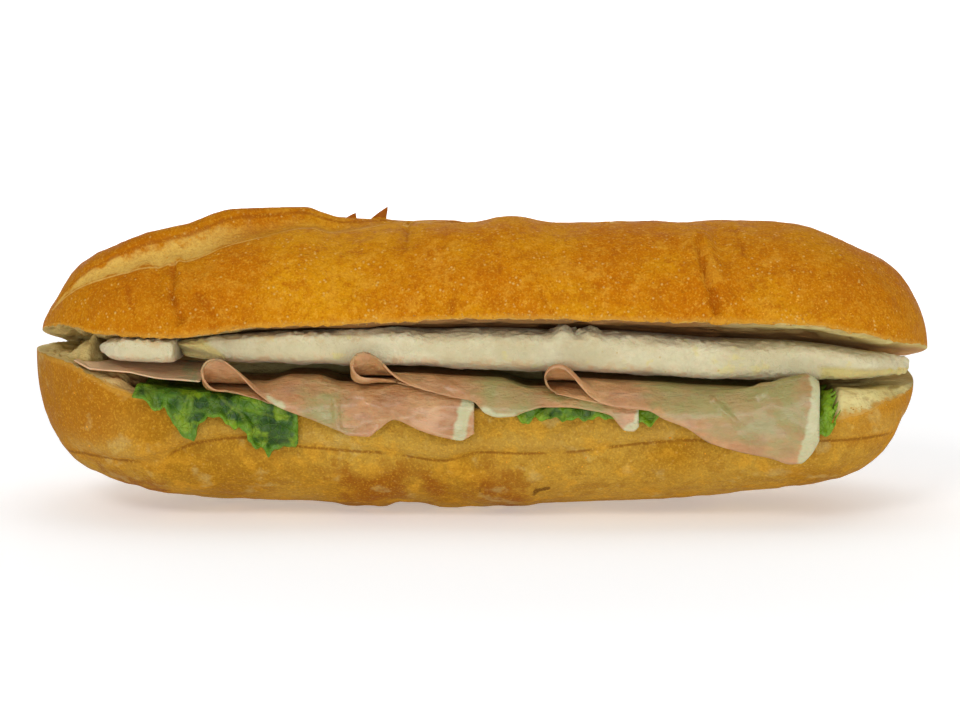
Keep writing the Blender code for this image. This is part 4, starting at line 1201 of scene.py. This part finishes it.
# %% A thin closed sheet
def sheet_mesh(name, s, t, place, thickness, ripple=None):
    """Two skins over a grid of s and t that meet in a thin edge; also gives both skins' s, t and points."""
    ss, tt = (grid.ravel() for grid in np.meshgrid(s, t, indexing="ij"))
    points = np.stack(place(ss, tt), 1)
    shape = (len(s), len(t), 3)

    def normals_of(flat):
        grid = flat.reshape(shape)
        normal = np.cross(np.gradient(grid, axis=0), np.gradient(grid, axis=1)).reshape(-1, 3)
        return normal / np.maximum(np.linalg.norm(normal, axis=1), 1e-12)[:, None]

    if ripple is not None:
        points = points + normals_of(points) * ripple(points, ss, tt)[:, None]
    edge = np.minimum(np.minimum(ss, 1 - ss) * 60, np.minimum(1 - tt, tt + 0.1) * 45)
    half = thickness / 2 * (0.3 + 0.7 * np.sqrt(np.clip(edge, 0, 1)))[:, None]
    normal = normals_of(points)
    both = np.concatenate([points + normal * half, points - normal * half])
    number = np.arange(len(ss)).reshape(len(s), len(t))
    quads = np.stack([number[:-1, :-1], number[1:, :-1], number[1:, 1:], number[:-1, 1:]], -1).reshape(-1, 4)
    border = np.concatenate([number[:, 0], number[-1, 1:], number[-2::-1, -1], number[0, -2:0:-1]])
    after = np.roll(border, -1)
    top = len(ss)
    wall = np.stack([border, border + top, after + top, after], 1)
    faces = np.concatenate([quads, quads[:, ::-1] + top, wall])
    mesh = bpy.data.meshes.new(name)
    mesh.from_pydata(both.tolist(), [], faces.tolist())
    check = bmesh.new()
    check.from_mesh(mesh)
    bmesh.ops.recalc_face_normals(check, faces=check.faces)
    if check.calc_volume(signed=True) < 0:
        bmesh.ops.reverse_faces(check, faces=check.faces)
    check.to_mesh(mesh)
    check.free()
    write(mesh, both)
    mesh.shade_smooth()
    return mesh, np.tile(ss, 2), np.tile(tt, 2), np.tile(points, (2, 1))


# %% [markdown]
# ## Ham
# Each slice is folded back on itself at its left, and the fold flares open at the front like a cuff. The
# stations along a slice are first the flap on top, then the bend, then the body, so the cuff is part of the
# same sheet. The hem of each slice follows its own line.

# %% Slices and their hems
HAM_THICKNESS = 0.5 * MM
HAM_SLICES = {
    "ham_slice_left": {
        "fold": -71 * MM,
        "end": -2 * MM,
        "flap": 14 * MM,
        "loop": 7.6 * MM,
        "decay": 8 * MM,
        "reach": 8 * MM,
        "wave": 26 * MM,
        "ruffle": 0.5 * MM,
        "hem": track([(-72, 36.8), (-65, 35.6), (-59, 34.1), (-46.4, 29.5), (-36.4, 25), (-34, 24),
                      (-29, 23.8), (-26.8, 25.4), (-22.4, 28.2), (-16.3, 25.6), (-10.2, 23.6),
                      (-5.4, 22.8), (-2, 24.5)]),
        "share": track([(-72, 0.5), (-56, 0.5), (-49, 0.72), (-43, 0.72), (-36, 0.52), (0, 0.52)], 1),
        "stand_off": track([(-72, 4.1), (-56, 4), (-48, 2.8), (-41, 1.3), (0, 1.3)]),
        "lift": track([(-72, 0), (0, 0)]),
    },
    "ham_slice_middle": {
        "fold": -33 * MM,
        "end": 40 * MM,
        "flap": 12 * MM,
        "loop": 6.4 * MM,
        "decay": 6 * MM,
        "reach": 8.4 * MM,
        "wave": 30 * MM,
        "ruffle": 0.35 * MM,
        "hem": track([(-34, 39.7), (-28.8, 39.2), (-24, 38.2), (-16.8, 36.3), (-8, 34), (-2.3, 32.9),
                      (0.8, 30.1), (4, 29.1), (8, 29.3), (11, 30.4), (16, 31.4), (21, 31.4), (28, 30.6),
                      (32.6, 29.6), (36.7, 25.5), (38.7, 25.4), (40, 26.6)]),
        "share": track([(-34, 0.8), (4, 0.8), (13, 0.52), (40, 0.52)], 1),
        "stand_off": track([(-34, 3.9), (-20, 3.6), (-12, 2.9), (-2, 2.9), (4, 2.6), (40, 2.6)]),
        "lift": track([(-34, 0), (40, 0)]),
    },
    "ham_slice_right": {
        "fold": 16.5 * MM,
        "end": 86 * MM,
        "flap": 12 * MM,
        "loop": 7 * MM,
        "decay": 6 * MM,
        "reach": 9.6 * MM,
        "wave": 34 * MM,
        "ruffle": 0.35 * MM,
        "hem": track([(16, 35.9), (21, 34.6), (28, 33), (35, 31.6), (42, 30.9), (46, 28.8), (52, 26.3),
                      (59, 22.1), (66, 20.1), (73.6, 18.7), (79, 17.1), (81.5, 17.3), (84, 19.6),
                      (86, 23)]),
        "share": track([(16, 0.8), (86, 0.8)], 1),
        "stand_off": track([(16, 4.9), (32, 4.8), (41, 4.4), (47, 3.1), (70, 3.1), (79, 3.6), (86, 3.7)]),
        "lift": track([(58, 0), (67, 1.2), (73.6, 3.2), (80, 5.3), (83, 5.8), (86, 4)]),
    },
}
FLAP_STATIONS, BEND_STATIONS, BODY_STATIONS = 36, 22, 170


def ham_stations(spec):
    """Each station's distance from the fold (negative on the flap) and its turn, for s from 0 to 1."""
    flap = -np.linspace(spec["flap"], 0, FLAP_STATIONS, endpoint=False)
    bend = np.radians(np.linspace(-90, 90, BEND_STATIONS))
    body = np.linspace(0, spec["end"] - spec["fold"], BODY_STATIONS)[1:]
    straight = np.concatenate([flap, bend * 0, body])
    turn = np.concatenate([flap * 0 + bend[0], bend, body * 0 + bend[-1]])
    return straight, turn


def slice_rule(spec):
    """The rule that places a slice's grid."""
    straights, turns = ham_stations(spec)

    def place(s, t):
        station = s * (len(straights) - 1)
        straight = np.interp(station, np.arange(len(straights)), straights)
        turn = np.interp(station, np.arange(len(turns)), turns)
        flare = smooth_step((t - FOLD_SHARE - 0.04) / 0.5)
        hairpin = 0.7 * MM
        radius = hairpin + (spec["loop"] / 2 - hairpin) * flare
        length = spec["end"] - spec["fold"]
        x = spec["fold"] + radius * (1 - np.cos(turn)) + np.abs(straight) * (1 - radius / length)
        near = np.exp(-((straight / spec["decay"]) ** 2))
        hem = spec["hem"](x)
        y_low, z_low = drape(x, t, spec["share"](x) - FLAP_DROP, spec["stand_off"](x) - FLAP_INSET, hem)
        y_high, z_high = drape(x, t, spec["share"](x), spec["stand_off"](x), hem)
        arch = spec["lift"](x) * smooth_step((ARCH_Y - y_high) / (1.6 * MM))
        z_high = z_high + arch * smooth_step((1.0 - t) / 0.4)
        outside = np.clip((t - FOLD_SHARE) / (1 - FOLD_SHARE), 0, 1) * math.pi / 2
        y_loop = SHOULDER_Y - spec["reach"] * np.sin(outside) ** 0.75
        y_low = y_low + (np.minimum(y_loop + FLAP_INSET, y_low) - y_low) * near * (t > FOLD_SHARE)
        y_high = y_high + (np.minimum(y_loop, y_high) - y_high) * near * (t > FOLD_SHARE)
        z_high = z_high + (z_low + 2 * radius - z_high) * near
        share = (1 + np.sin(turn)) / 2
        ruffle = spec["ruffle"] * (1 + np.sin(x / spec["wave"] * 2 * math.pi)) * smooth_step((t - 0.6) / 0.4)
        return x, y_low + (y_high - y_low) * share - ruffle * (1 - near), z_low + (z_high - z_low) * share

    return place


# %% [markdown]
# Muscle and fat sit in fixed places on a slice, and a few soft creases run down it. Both are given as
# strokes: a line from one point to another with a half-width, in the picture plane of the mouth (x and z).
# The distance to a stroke goes onto the points, so the material can draw the strip with a clean edge.

# %% Strokes on the slices
FAT = {
    "ham_slice_left": [([(-3.4, 34.4), (-6.2, 22.5)], 1.7), ([(-54.5, 34.2), (-50.6, 31.8)], 0.7)],
    "ham_slice_middle": [([(40.2, 30.6), (39.4, 27.2), (37, 25.6)], 1.0), ([(0.6, 31), (3.4, 29.4), (8, 29.6)], 0.6)],
    "ham_slice_right": [([(85, 45), (86, 36), (85.4, 29), (82.4, 17)], 2.1)],
    "ham_slice_inner": [([(-78, 38.9), (-76, 38.4)], 0.45), ([(-74.8, 38.2), (-73.8, 37)], 0.4)],
}
RIDGES = {
    "ham_slice_left": [([(-37.6, 33), (-36.8, 24)], 1.6, 0.5), ([(-30, 33), (-20, 29)], 2.5, 0.4)],
    "ham_slice_middle": [([(-16, 39.5), (-4, 34.6)], 1.2, 0.35), ([(2, 36), (20, 33.4)], 2.2, 0.4)],
    "ham_slice_right": [([(59, 33), (65, 27.5)], 0.9, 0.45), ([(45, 41), (58, 36)], 1.0, 0.3),
                        ([(68, 40), (80, 27)], 3.5, 0.4)],
    "ham_slice_inner": [],
}
TINT = {
    "ham_slice_left": [([(-41, 32), (-40, 27)], 3.4)],
    "ham_slice_middle": [([(4, 38), (9, 32)], 4.5), ([(20, 38), (30, 32)], 3.0)],
    "ham_slice_right": [([(50, 38), (74, 30)], 7.5), ([(74, 40), (76, 30)], 8.0)],
    "ham_slice_inner": [([(-98, 41), (-76, 40)], 1.0)],
}


def ham_ripple(name):
    """Soft outward swellings and the ridges of one slice, in metres along the sheet's normal."""

    def ripple(points, s, t):
        out = smooth_step((t - FOLD_SHARE) / 0.2)
        total = 0.3 * MM * (lumps(points * (1, 1, 0.5), 5 * MM, 41) + 1)
        total = total + 0.1 * MM * (lumps(points, 2 * MM, 42) + 1)
        for line, half_width, height in RIDGES[name]:
            total = total + height * MM * smooth_step(stroke(points, line, half_width) / half_width)
        return -total * out

    return ripple


# %% Make the slices
def mark_ham(mesh, name, points, s, t):
    hem = np.minimum((1 - t) * 26, (1 - s) * 60)
    # The flat slice at the left is marked so the material paints it paler, as painted light.
    mark(mesh, fat=strongest(points, FAT[name]), tint=strongest(points, TINT[name]), hem=hem,
         inner=0.95 if name == "ham_slice_inner" else 0)


ham_slices = {}
for name, spec in HAM_SLICES.items():
    s = np.linspace(0, 1, FLAP_STATIONS + BEND_STATIONS + BODY_STATIONS - 1)
    t = np.linspace(0, 1, 64)
    mesh, ss, tt, where = sheet_mesh(name + "_draped", s, t, slice_rule(spec), HAM_THICKNESS, ham_ripple(name))
    mark_ham(mesh, name, where, ss, tt)
    ham_slices[name] = new_object(name + "_draped", mesh)
    print(name, "faces:", len(mesh.polygons))


# %% [markdown]
# A fourth slice lies flat in the left end of the mouth, under the short slab of cheese, and only its front
# edge shows as a pinkish strip.

# %% The flat slice at the left
inner_hem = track([(-106, 40.3), (-98, 40.1), (-91, 39.8), (-88, 39.2), (-83, 38.2), (-79, 37.9),
                   (-73, 37.4)])


def inner_rule(s, t):
    left, right = -106 * MM, -72.6 * MM
    x = left + (right - left) * s
    front = -LOWER_HALF_WIDTH * cap(x, LOWER_ENDS, LOWER_CAPS) + 2.2 * MM
    back = np.minimum(HAM_INNER_Y, torn_front(x - 3 * MM) - 3 * MM)
    y = back + (front - back) * t
    level = cheese_under(x, y) - 1 * MM
    z = level + (inner_hem(x) - level) * smooth_step(t)
    return x, y, np.maximum(z, lower_cut(x, y) + 0.9 * MM)


mesh, ss, tt, where = sheet_mesh("ham_slice_inner_flat", np.linspace(0, 1, 120), np.linspace(0, 1, 60), inner_rule,
                                 HAM_THICKNESS)
mark_ham(mesh, "ham_slice_inner", where, ss, tt)
ham_slices["ham_slice_inner"] = new_object("ham_slice_inner_flat", mesh)


# %% [markdown]
# ### Cured ham
# Cured ham is moist and lets light through, so it takes the colour of what lies under it: greenish over the
# leaves, tan over the bread. Fine fibres and paler marbling run through it, fat strips are cream, and a thin
# hem looks lighter than the middle. A clear coat gives the wet glints.

# %% Ham material
def ham_material():
    material, tree, shader, where = start_material("cured ham", 0.38, 0.35)
    stretch = tree.nodes.new("ShaderNodeMapping")
    feed(tree, stretch.inputs["Vector"], where)
    stretch.inputs["Rotation"].default_value = (0, math.radians(20), 0)
    stretch.inputs["Scale"].default_value = (0.35, 1, 1)
    grain = stretch.outputs["Vector"]
    broad = fit(tree, noise(tree, where, 13 * MM, 3), 0.35, 0.65)
    fibres = fit(tree, noise(tree, grain, 2.6 * MM, 4, 0.55), 0.3, 0.7)
    colour = blend(tree, broad, screen(172, 120, 68), screen(194, 146, 90))
    pink = fit(tree, noise(tree, where, 8 * MM, 3), 0.45, 0.62, 0, 0.2)
    colour = blend(tree, pink, colour, screen(192, 132, 92))
    colour = blend(tree, sums(tree, "MULTIPLY", fibres, 0.2), colour, screen(172, 116, 84))
    streaks = fit(tree, noise(tree, grain, 1.0 * MM, 4, 0.65), 0.35, 0.65)
    colour = blend(tree, sums(tree, "MULTIPLY", streaks, 0.15), colour, screen(204, 164, 116))
    clouds = fit(tree, noise(tree, where, 5 * MM, 4, 0.6), 0.4, 0.65)
    colour = blend(tree, sums(tree, "MULTIPLY", clouds, 0.4), colour, screen(140, 98, 58))
    veins = fit(tree, cells(tree, grain, 7 * MM, "DISTANCE_TO_EDGE"), 0.09, 0.0)
    colour = blend(tree, sums(tree, "MULTIPLY", veins, 0.15), colour, screen(208, 176, 130))
    ragged = sums(tree, "ADD", marked(tree, "tint"), fit(tree, fibres, 0, 1, -2, 2))
    green = fit(tree, clouds, 0, 1, 0.9, 0.55)
    tint = sums(tree, "MULTIPLY", fit(tree, ragged, -5, 3), green)
    colour = blend(tree, tint, colour, screen(146, 140, 80))
    hem = fit(tree, marked(tree, "hem"), 1.0, 0.1, 0, 0.3)
    colour = blend(tree, hem, colour, screen(186, 148, 104))
    # Painted light: the flat slice at the left is made much paler, against the shade it lies in.
    colour = blend(tree, marked(tree, "inner"), colour, screen(230, 190, 150))
    fat = sums(tree, "ADD", marked(tree, "fat"), fit(tree, fibres, 0, 1, -0.3, 0.3))
    colour = blend(tree, fit(tree, fat, -0.5, 0.5, 0, 0.9), colour, screen(188, 186, 142))
    feed(tree, shader.inputs["Base Color"], colour)
    feed(tree, shader.inputs["Roughness"], fit(tree, fibres, 0, 1, 0.46, 0.28))
    shader.inputs["Subsurface Weight"].default_value = 0.3
    shader.inputs["Subsurface Scale"].default_value = 1.5 * MM
    shader.inputs["Coat Weight"].default_value = 0.45
    shader.inputs["Coat Roughness"].default_value = 0.22
    normal = raised(tree, fibres, 0.2 * MM)
    normal = raised(tree, streaks, 0.12 * MM, normal)
    feed(tree, shader.inputs["Normal"], raised(tree, noise(tree, where, 4 * MM, 3), 1.0 * MM, normal))
    return material


ham = ham_material()
for node, piece in ham_slices.items():
    piece.data.materials.append(ham)
    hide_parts(node)
    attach(piece, "root")

# %% [markdown]
# ## Lettuce
# The leaves lie on the crumb under the ham and hang their frilled edges over the rim. A leaf is puckered
# between its veins, so its sheet gets rounded swellings, and its edge gets a tight frill.

# %% Leaves
LETTUCE_THICKNESS = 0.7 * MM
LETTUCE_LEAVES = {
    "lettuce_left": {
        "ends": (-89 * MM, -47.2 * MM),
        "hem": track([(-89, 35.6), (-85.7, 33), (-83.7, 29.9), (-81, 31.6), (-78, 25.5), (-75.5, 23.7),
                      (-73.7, 24), (-72, 27), (-69, 29.4), (-65.3, 26.8), (-60.5, 25.5), (-59, 21.2),
                      (-57, 20.9), (-54.6, 18.1), (-52.5, 20.9), (-48.4, 20.9), (-47, 24)]),
        "share": track([(-89, 0.19), (-47, 0.19)], 1),
        "frill": 1.5 * MM,
        "lobes": 0,
        "wave": 9 * MM,
        "ribs": [([(-86, 37), (-84.6, 34), (-83.6, 31)], 1.2), ([(-70, 36), (-62, 30), (-57, 23)], 0.3),
                 ([(-74, 34), (-76, 26)], 0.3), ([(-60, 31), (-50, 28)], 0.25)],
    },
    "lettuce_middle": {
        "ends": (6 * MM, 47.5 * MM),
        "hem": track([(6, 31.2), (8.7, 29.1), (11.7, 26.8), (13.8, 28.5), (20, 28.1), (25, 28.1),
                      (32.7, 28.6), (36.5, 28.1), (41, 26.9), (43, 26.3), (44.7, 28.5), (47.5, 29.6)]),
        "share": track([(6, 0.19), (48, 0.19)], 1),
        "frill": 0.8 * MM,
        "lobes": 0,
        "wave": 8 * MM,
        "ribs": [([(20, 33), (12, 27)], 0.5), ([(34, 33), (42, 27)], 0.5)],
    },
    "lettuce_right": {
        "ends": (58 * MM, 91.5 * MM),
        "hem": track([(58, 31), (71, 29.3), (81, 25.5), (85.5, 23.7), (89, 24.4), (90.5, 28.3),
                      (91.5, 31)]),
        "share": track([(58, 0.19), (86.4, 0.19), (88.9, 0.72), (92, 0.72)], 1),
        "frill": 0.9 * MM,
        "lobes": 1.9 * MM,
        "wave": 5 * MM,
        "ribs": [([(80, 36), (90, 30)], 0.5)],
    },
}


def leaf_rule(spec):
    left, right = spec["ends"]

    def place(s, t):
        lobe = spec["lobes"] * np.abs(np.cos(5.5 * math.pi * t)) ** 1.5 * smooth_step((s - 0.8) / 0.2)
        x = left + (right - left) * s - lobe
        tooth = 0.4 * MM * np.sin(x / (0.9 * MM)) + 0.25 * MM * np.sin(x / (0.43 * MM) + 1)
        hem = np.minimum(spec["hem"](x) + tooth, between(x, SHOULDER_Y, 0.17) - 2 * MM)
        y, z = drape(x, t, spec["share"](x), 1.2 * MM, hem)
        frill = spec["frill"] * (1 + np.sin((x - left) / spec["wave"] * 2 * math.pi)) / 2
        return x, y - frill * smooth_step((t - 0.72) / 0.28), z

    return place


def leaf_ripple(spec):
    def ripple(points, s, t):
        out = smooth_step((t - FOLD_SHARE) / 0.15)
        pucker = 0.75 * MM * (1 - np.abs(lumps(points, 3.6 * MM, 51))) + 0.25 * MM * lumps(points, 1.5 * MM, 52)
        frill = 0.35 * MM * np.sin(points[:, 0] / (1.1 * MM)) * smooth_step((t - 0.82) / 0.18)
        ribs = 0.2 * MM * smooth_step(strongest(points, spec["ribs"]) / 0.5 + 1)
        return -(pucker + frill + ribs) * out

    return ripple


leaves = {}
for name, spec in LETTUCE_LEAVES.items():
    mesh, ss, tt, where = sheet_mesh(name + "_frilled", np.linspace(0, 1, 190), np.linspace(0, 1, 90),
                                     leaf_rule(spec), LETTUCE_THICKNESS, leaf_ripple(spec))
    mark(mesh, rib=strongest(where, spec["ribs"]), hem=np.minimum((1 - tt) * 20, np.minimum(ss, 1 - ss) * 40),
         pucker=lumps(where, 3.6 * MM, 51))
    leaves[name] = new_object(name + "_frilled", mesh)
    print(name, "faces:", len(mesh.polygons))


# %% [markdown]
# ### Leaf
# A leaf gets painted shade in dark patches where it folds away and in the hollows between its puckers, and
# painted light on the raised puckers; it is yellow-green where it is thin. Ribs are pale, and a net of fine
# veins runs between them. The surface is waxy, so it gets a soft gloss.

# %% Lettuce material
def lettuce_material():
    material, tree, shader, where = start_material("lettuce leaf", 0.4, 0.3)
    broad = fit(tree, noise(tree, where, 9 * MM, 3), 0.35, 0.65)
    colour = blend(tree, broad, screen(28, 64, 8), screen(66, 106, 4))
    fresh = fit(tree, where_x(tree, where), -20 * MM, 84 * MM, 0, 0.8)
    colour = blend(tree, fresh, colour, screen(122, 156, 12))
    # Painted light: the raised puckers are brighter.
    pucker = fit(tree, sums(tree, "ABSOLUTE", marked(tree, "pucker")), 0.5, 0.05)
    colour = blend(tree, sums(tree, "MULTIPLY", pucker, 0.3), colour, screen(112, 146, 18))
    # Painted shade: the hollows between the puckers are darker.
    hollow_shade = fit(tree, marked(tree, "pucker"), 0.1, 0.8, 0, 0.4)
    colour = blend(tree, hollow_shade, colour, screen(26, 58, 8))
    # Painted shade: dark patches where the leaf folds away.
    fold_shade = fit(tree, noise(tree, where, 7 * MM, 3, 0.6), 0.5, 0.36, 0, 0.75)
    colour = blend(tree, fold_shade, colour, screen(24, 56, 10))
    bright = fit(tree, noise(tree, where, 6 * MM, 3), 0.54, 0.66, 0, 0.65)
    colour = blend(tree, bright, colour, screen(132, 158, 20))
    net = fit(tree, cells(tree, where, 2.1 * MM, "DISTANCE_TO_EDGE"), 0.09, 0.0)
    colour = blend(tree, sums(tree, "MULTIPLY", net, 0.2), colour, screen(110, 148, 40))
    rib = fit(tree, marked(tree, "rib"), -0.35, 0.25, 0, 0.2)
    colour = blend(tree, rib, colour, screen(146, 170, 36))
    hem = fit(tree, marked(tree, "hem"), 1.6, 0.1, 0, 0.5)
    colour = blend(tree, hem, colour, screen(112, 154, 24))
    feed(tree, shader.inputs["Base Color"], colour)
    shader.inputs["Subsurface Weight"].default_value = 0.15
    shader.inputs["Subsurface Scale"].default_value = 1 * MM
    normal = raised(tree, net, 0.12 * MM)
    feed(tree, shader.inputs["Normal"], raised(tree, noise(tree, where, 1.2 * MM, 3), 0.25 * MM, normal))
    return material


lettuce = lettuce_material()
for node, piece in leaves.items():
    piece.data.materials.append(lettuce)
    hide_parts(node)
    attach(piece, "root")

# %% [markdown]
# ## The studio
# A plain pale floor that sweeps up behind the food keeps the horizon out of the picture. Large soft lights
# from above and in front give the even light of a catalogue photograph.

# %% Floor and lights
def sweep(name, half_width, front, back, rise):
    """A floor that curves up into a backdrop."""
    profile = [(front, 0), (back - rise, 0)]
    for i in range(1, 13):
        a = math.pi / 2 * i / 12
        profile.append((back - rise + rise * math.sin(a), rise - rise * math.cos(a)))
    profile.append((back, 2.5))
    points = [(side * half_width, y, z) for y, z in profile for side in (-1, 1)]
    faces = [(2 * i, 2 * i + 1, 2 * i + 3, 2 * i + 2) for i in range(len(profile) - 1)]
    mesh = bpy.data.meshes.new(name)
    mesh.from_pydata(points, [], faces)
    mesh.shade_smooth()
    material, _, shader, _ = start_material("studio paper", 0.9, 0.2)
    shader.inputs["Base Color"].default_value = (0.93, 0.93, 0.93, 1)
    shader.inputs["Emission Color"].default_value = (1, 1, 1, 1)
    shader.inputs["Emission Strength"].default_value = 0.3
    mesh.materials.append(material)
    return new_object(name, mesh)


floor = sweep("studio_floor", 4, -3, 3.2, 1.4)


def soft_light(name, place, target, size, power):
    lamp = bpy.data.lights.new(name, "AREA")
    lamp.shape = "RECTANGLE"
    lamp.size, lamp.size_y = size
    lamp.energy = power
    holder = bpy.data.objects.new(name, lamp)
    bpy.context.scene.collection.objects.link(holder)
    holder.location = place
    direction = np.array(place) - np.array(target)
    holder.rotation_euler = (math.atan2(math.hypot(direction[0], direction[1]), direction[2]), 0,
                             math.atan2(direction[0], -direction[1]))
    return holder


soft_light("key", (-0.4, -0.75, 0.7), (0, 0, 0.04), (0.4, 0.3), 2.5)
soft_light("fill", (0.2, -1.1, 0.1), (0, 0, 0.04), (1.2, 0.3), 6.2)
soft_light("top", (0.1, 0.2, 1.0), (0, 0, 0.04), (0.8, 0.6), 1.8)
soft_light("backdrop", (0, 1.0, 1.7), (0, 3.2, 0.6), (2.6, 0.6), 60)
world = bpy.data.worlds.new("studio")
world.use_nodes = True
world.node_tree.nodes["Background"].inputs["Color"].default_value = (1, 1, 1, 1)
world.node_tree.nodes["Background"].inputs["Strength"].default_value = 0.4
bpy.context.scene.world = world

# %% [markdown]
# Blender's usual film-like curve greys strong colours, and golden crust would come out pink. The plain
# standard curve shows the colours as they were mixed, which suits a catalogue picture.

# %% Plain colours on the screen
bpy.context.scene.view_settings.view_transform = "Standard"

# %% [markdown]
# The camera stands where the photographer's did: eight degrees above the horizon, straight in front.

# %% Camera
ELEVATION = math.radians(8)
DISTANCE = 615 * MM
AIM = (-0.54 * MM, 0.21 * MM, 38.98 * MM)
lens = bpy.data.cameras.new("camera")
lens.lens = 85
lens.sensor_width = 36
camera = bpy.data.objects.new("camera", lens)
bpy.context.scene.collection.objects.link(camera)
camera.location = (AIM[0], AIM[1] - DISTANCE * math.cos(ELEVATION), AIM[2] + DISTANCE * math.sin(ELEVATION))
camera.rotation_euler = (math.pi / 2 - ELEVATION, 0, 0)
bpy.context.scene.camera = camera
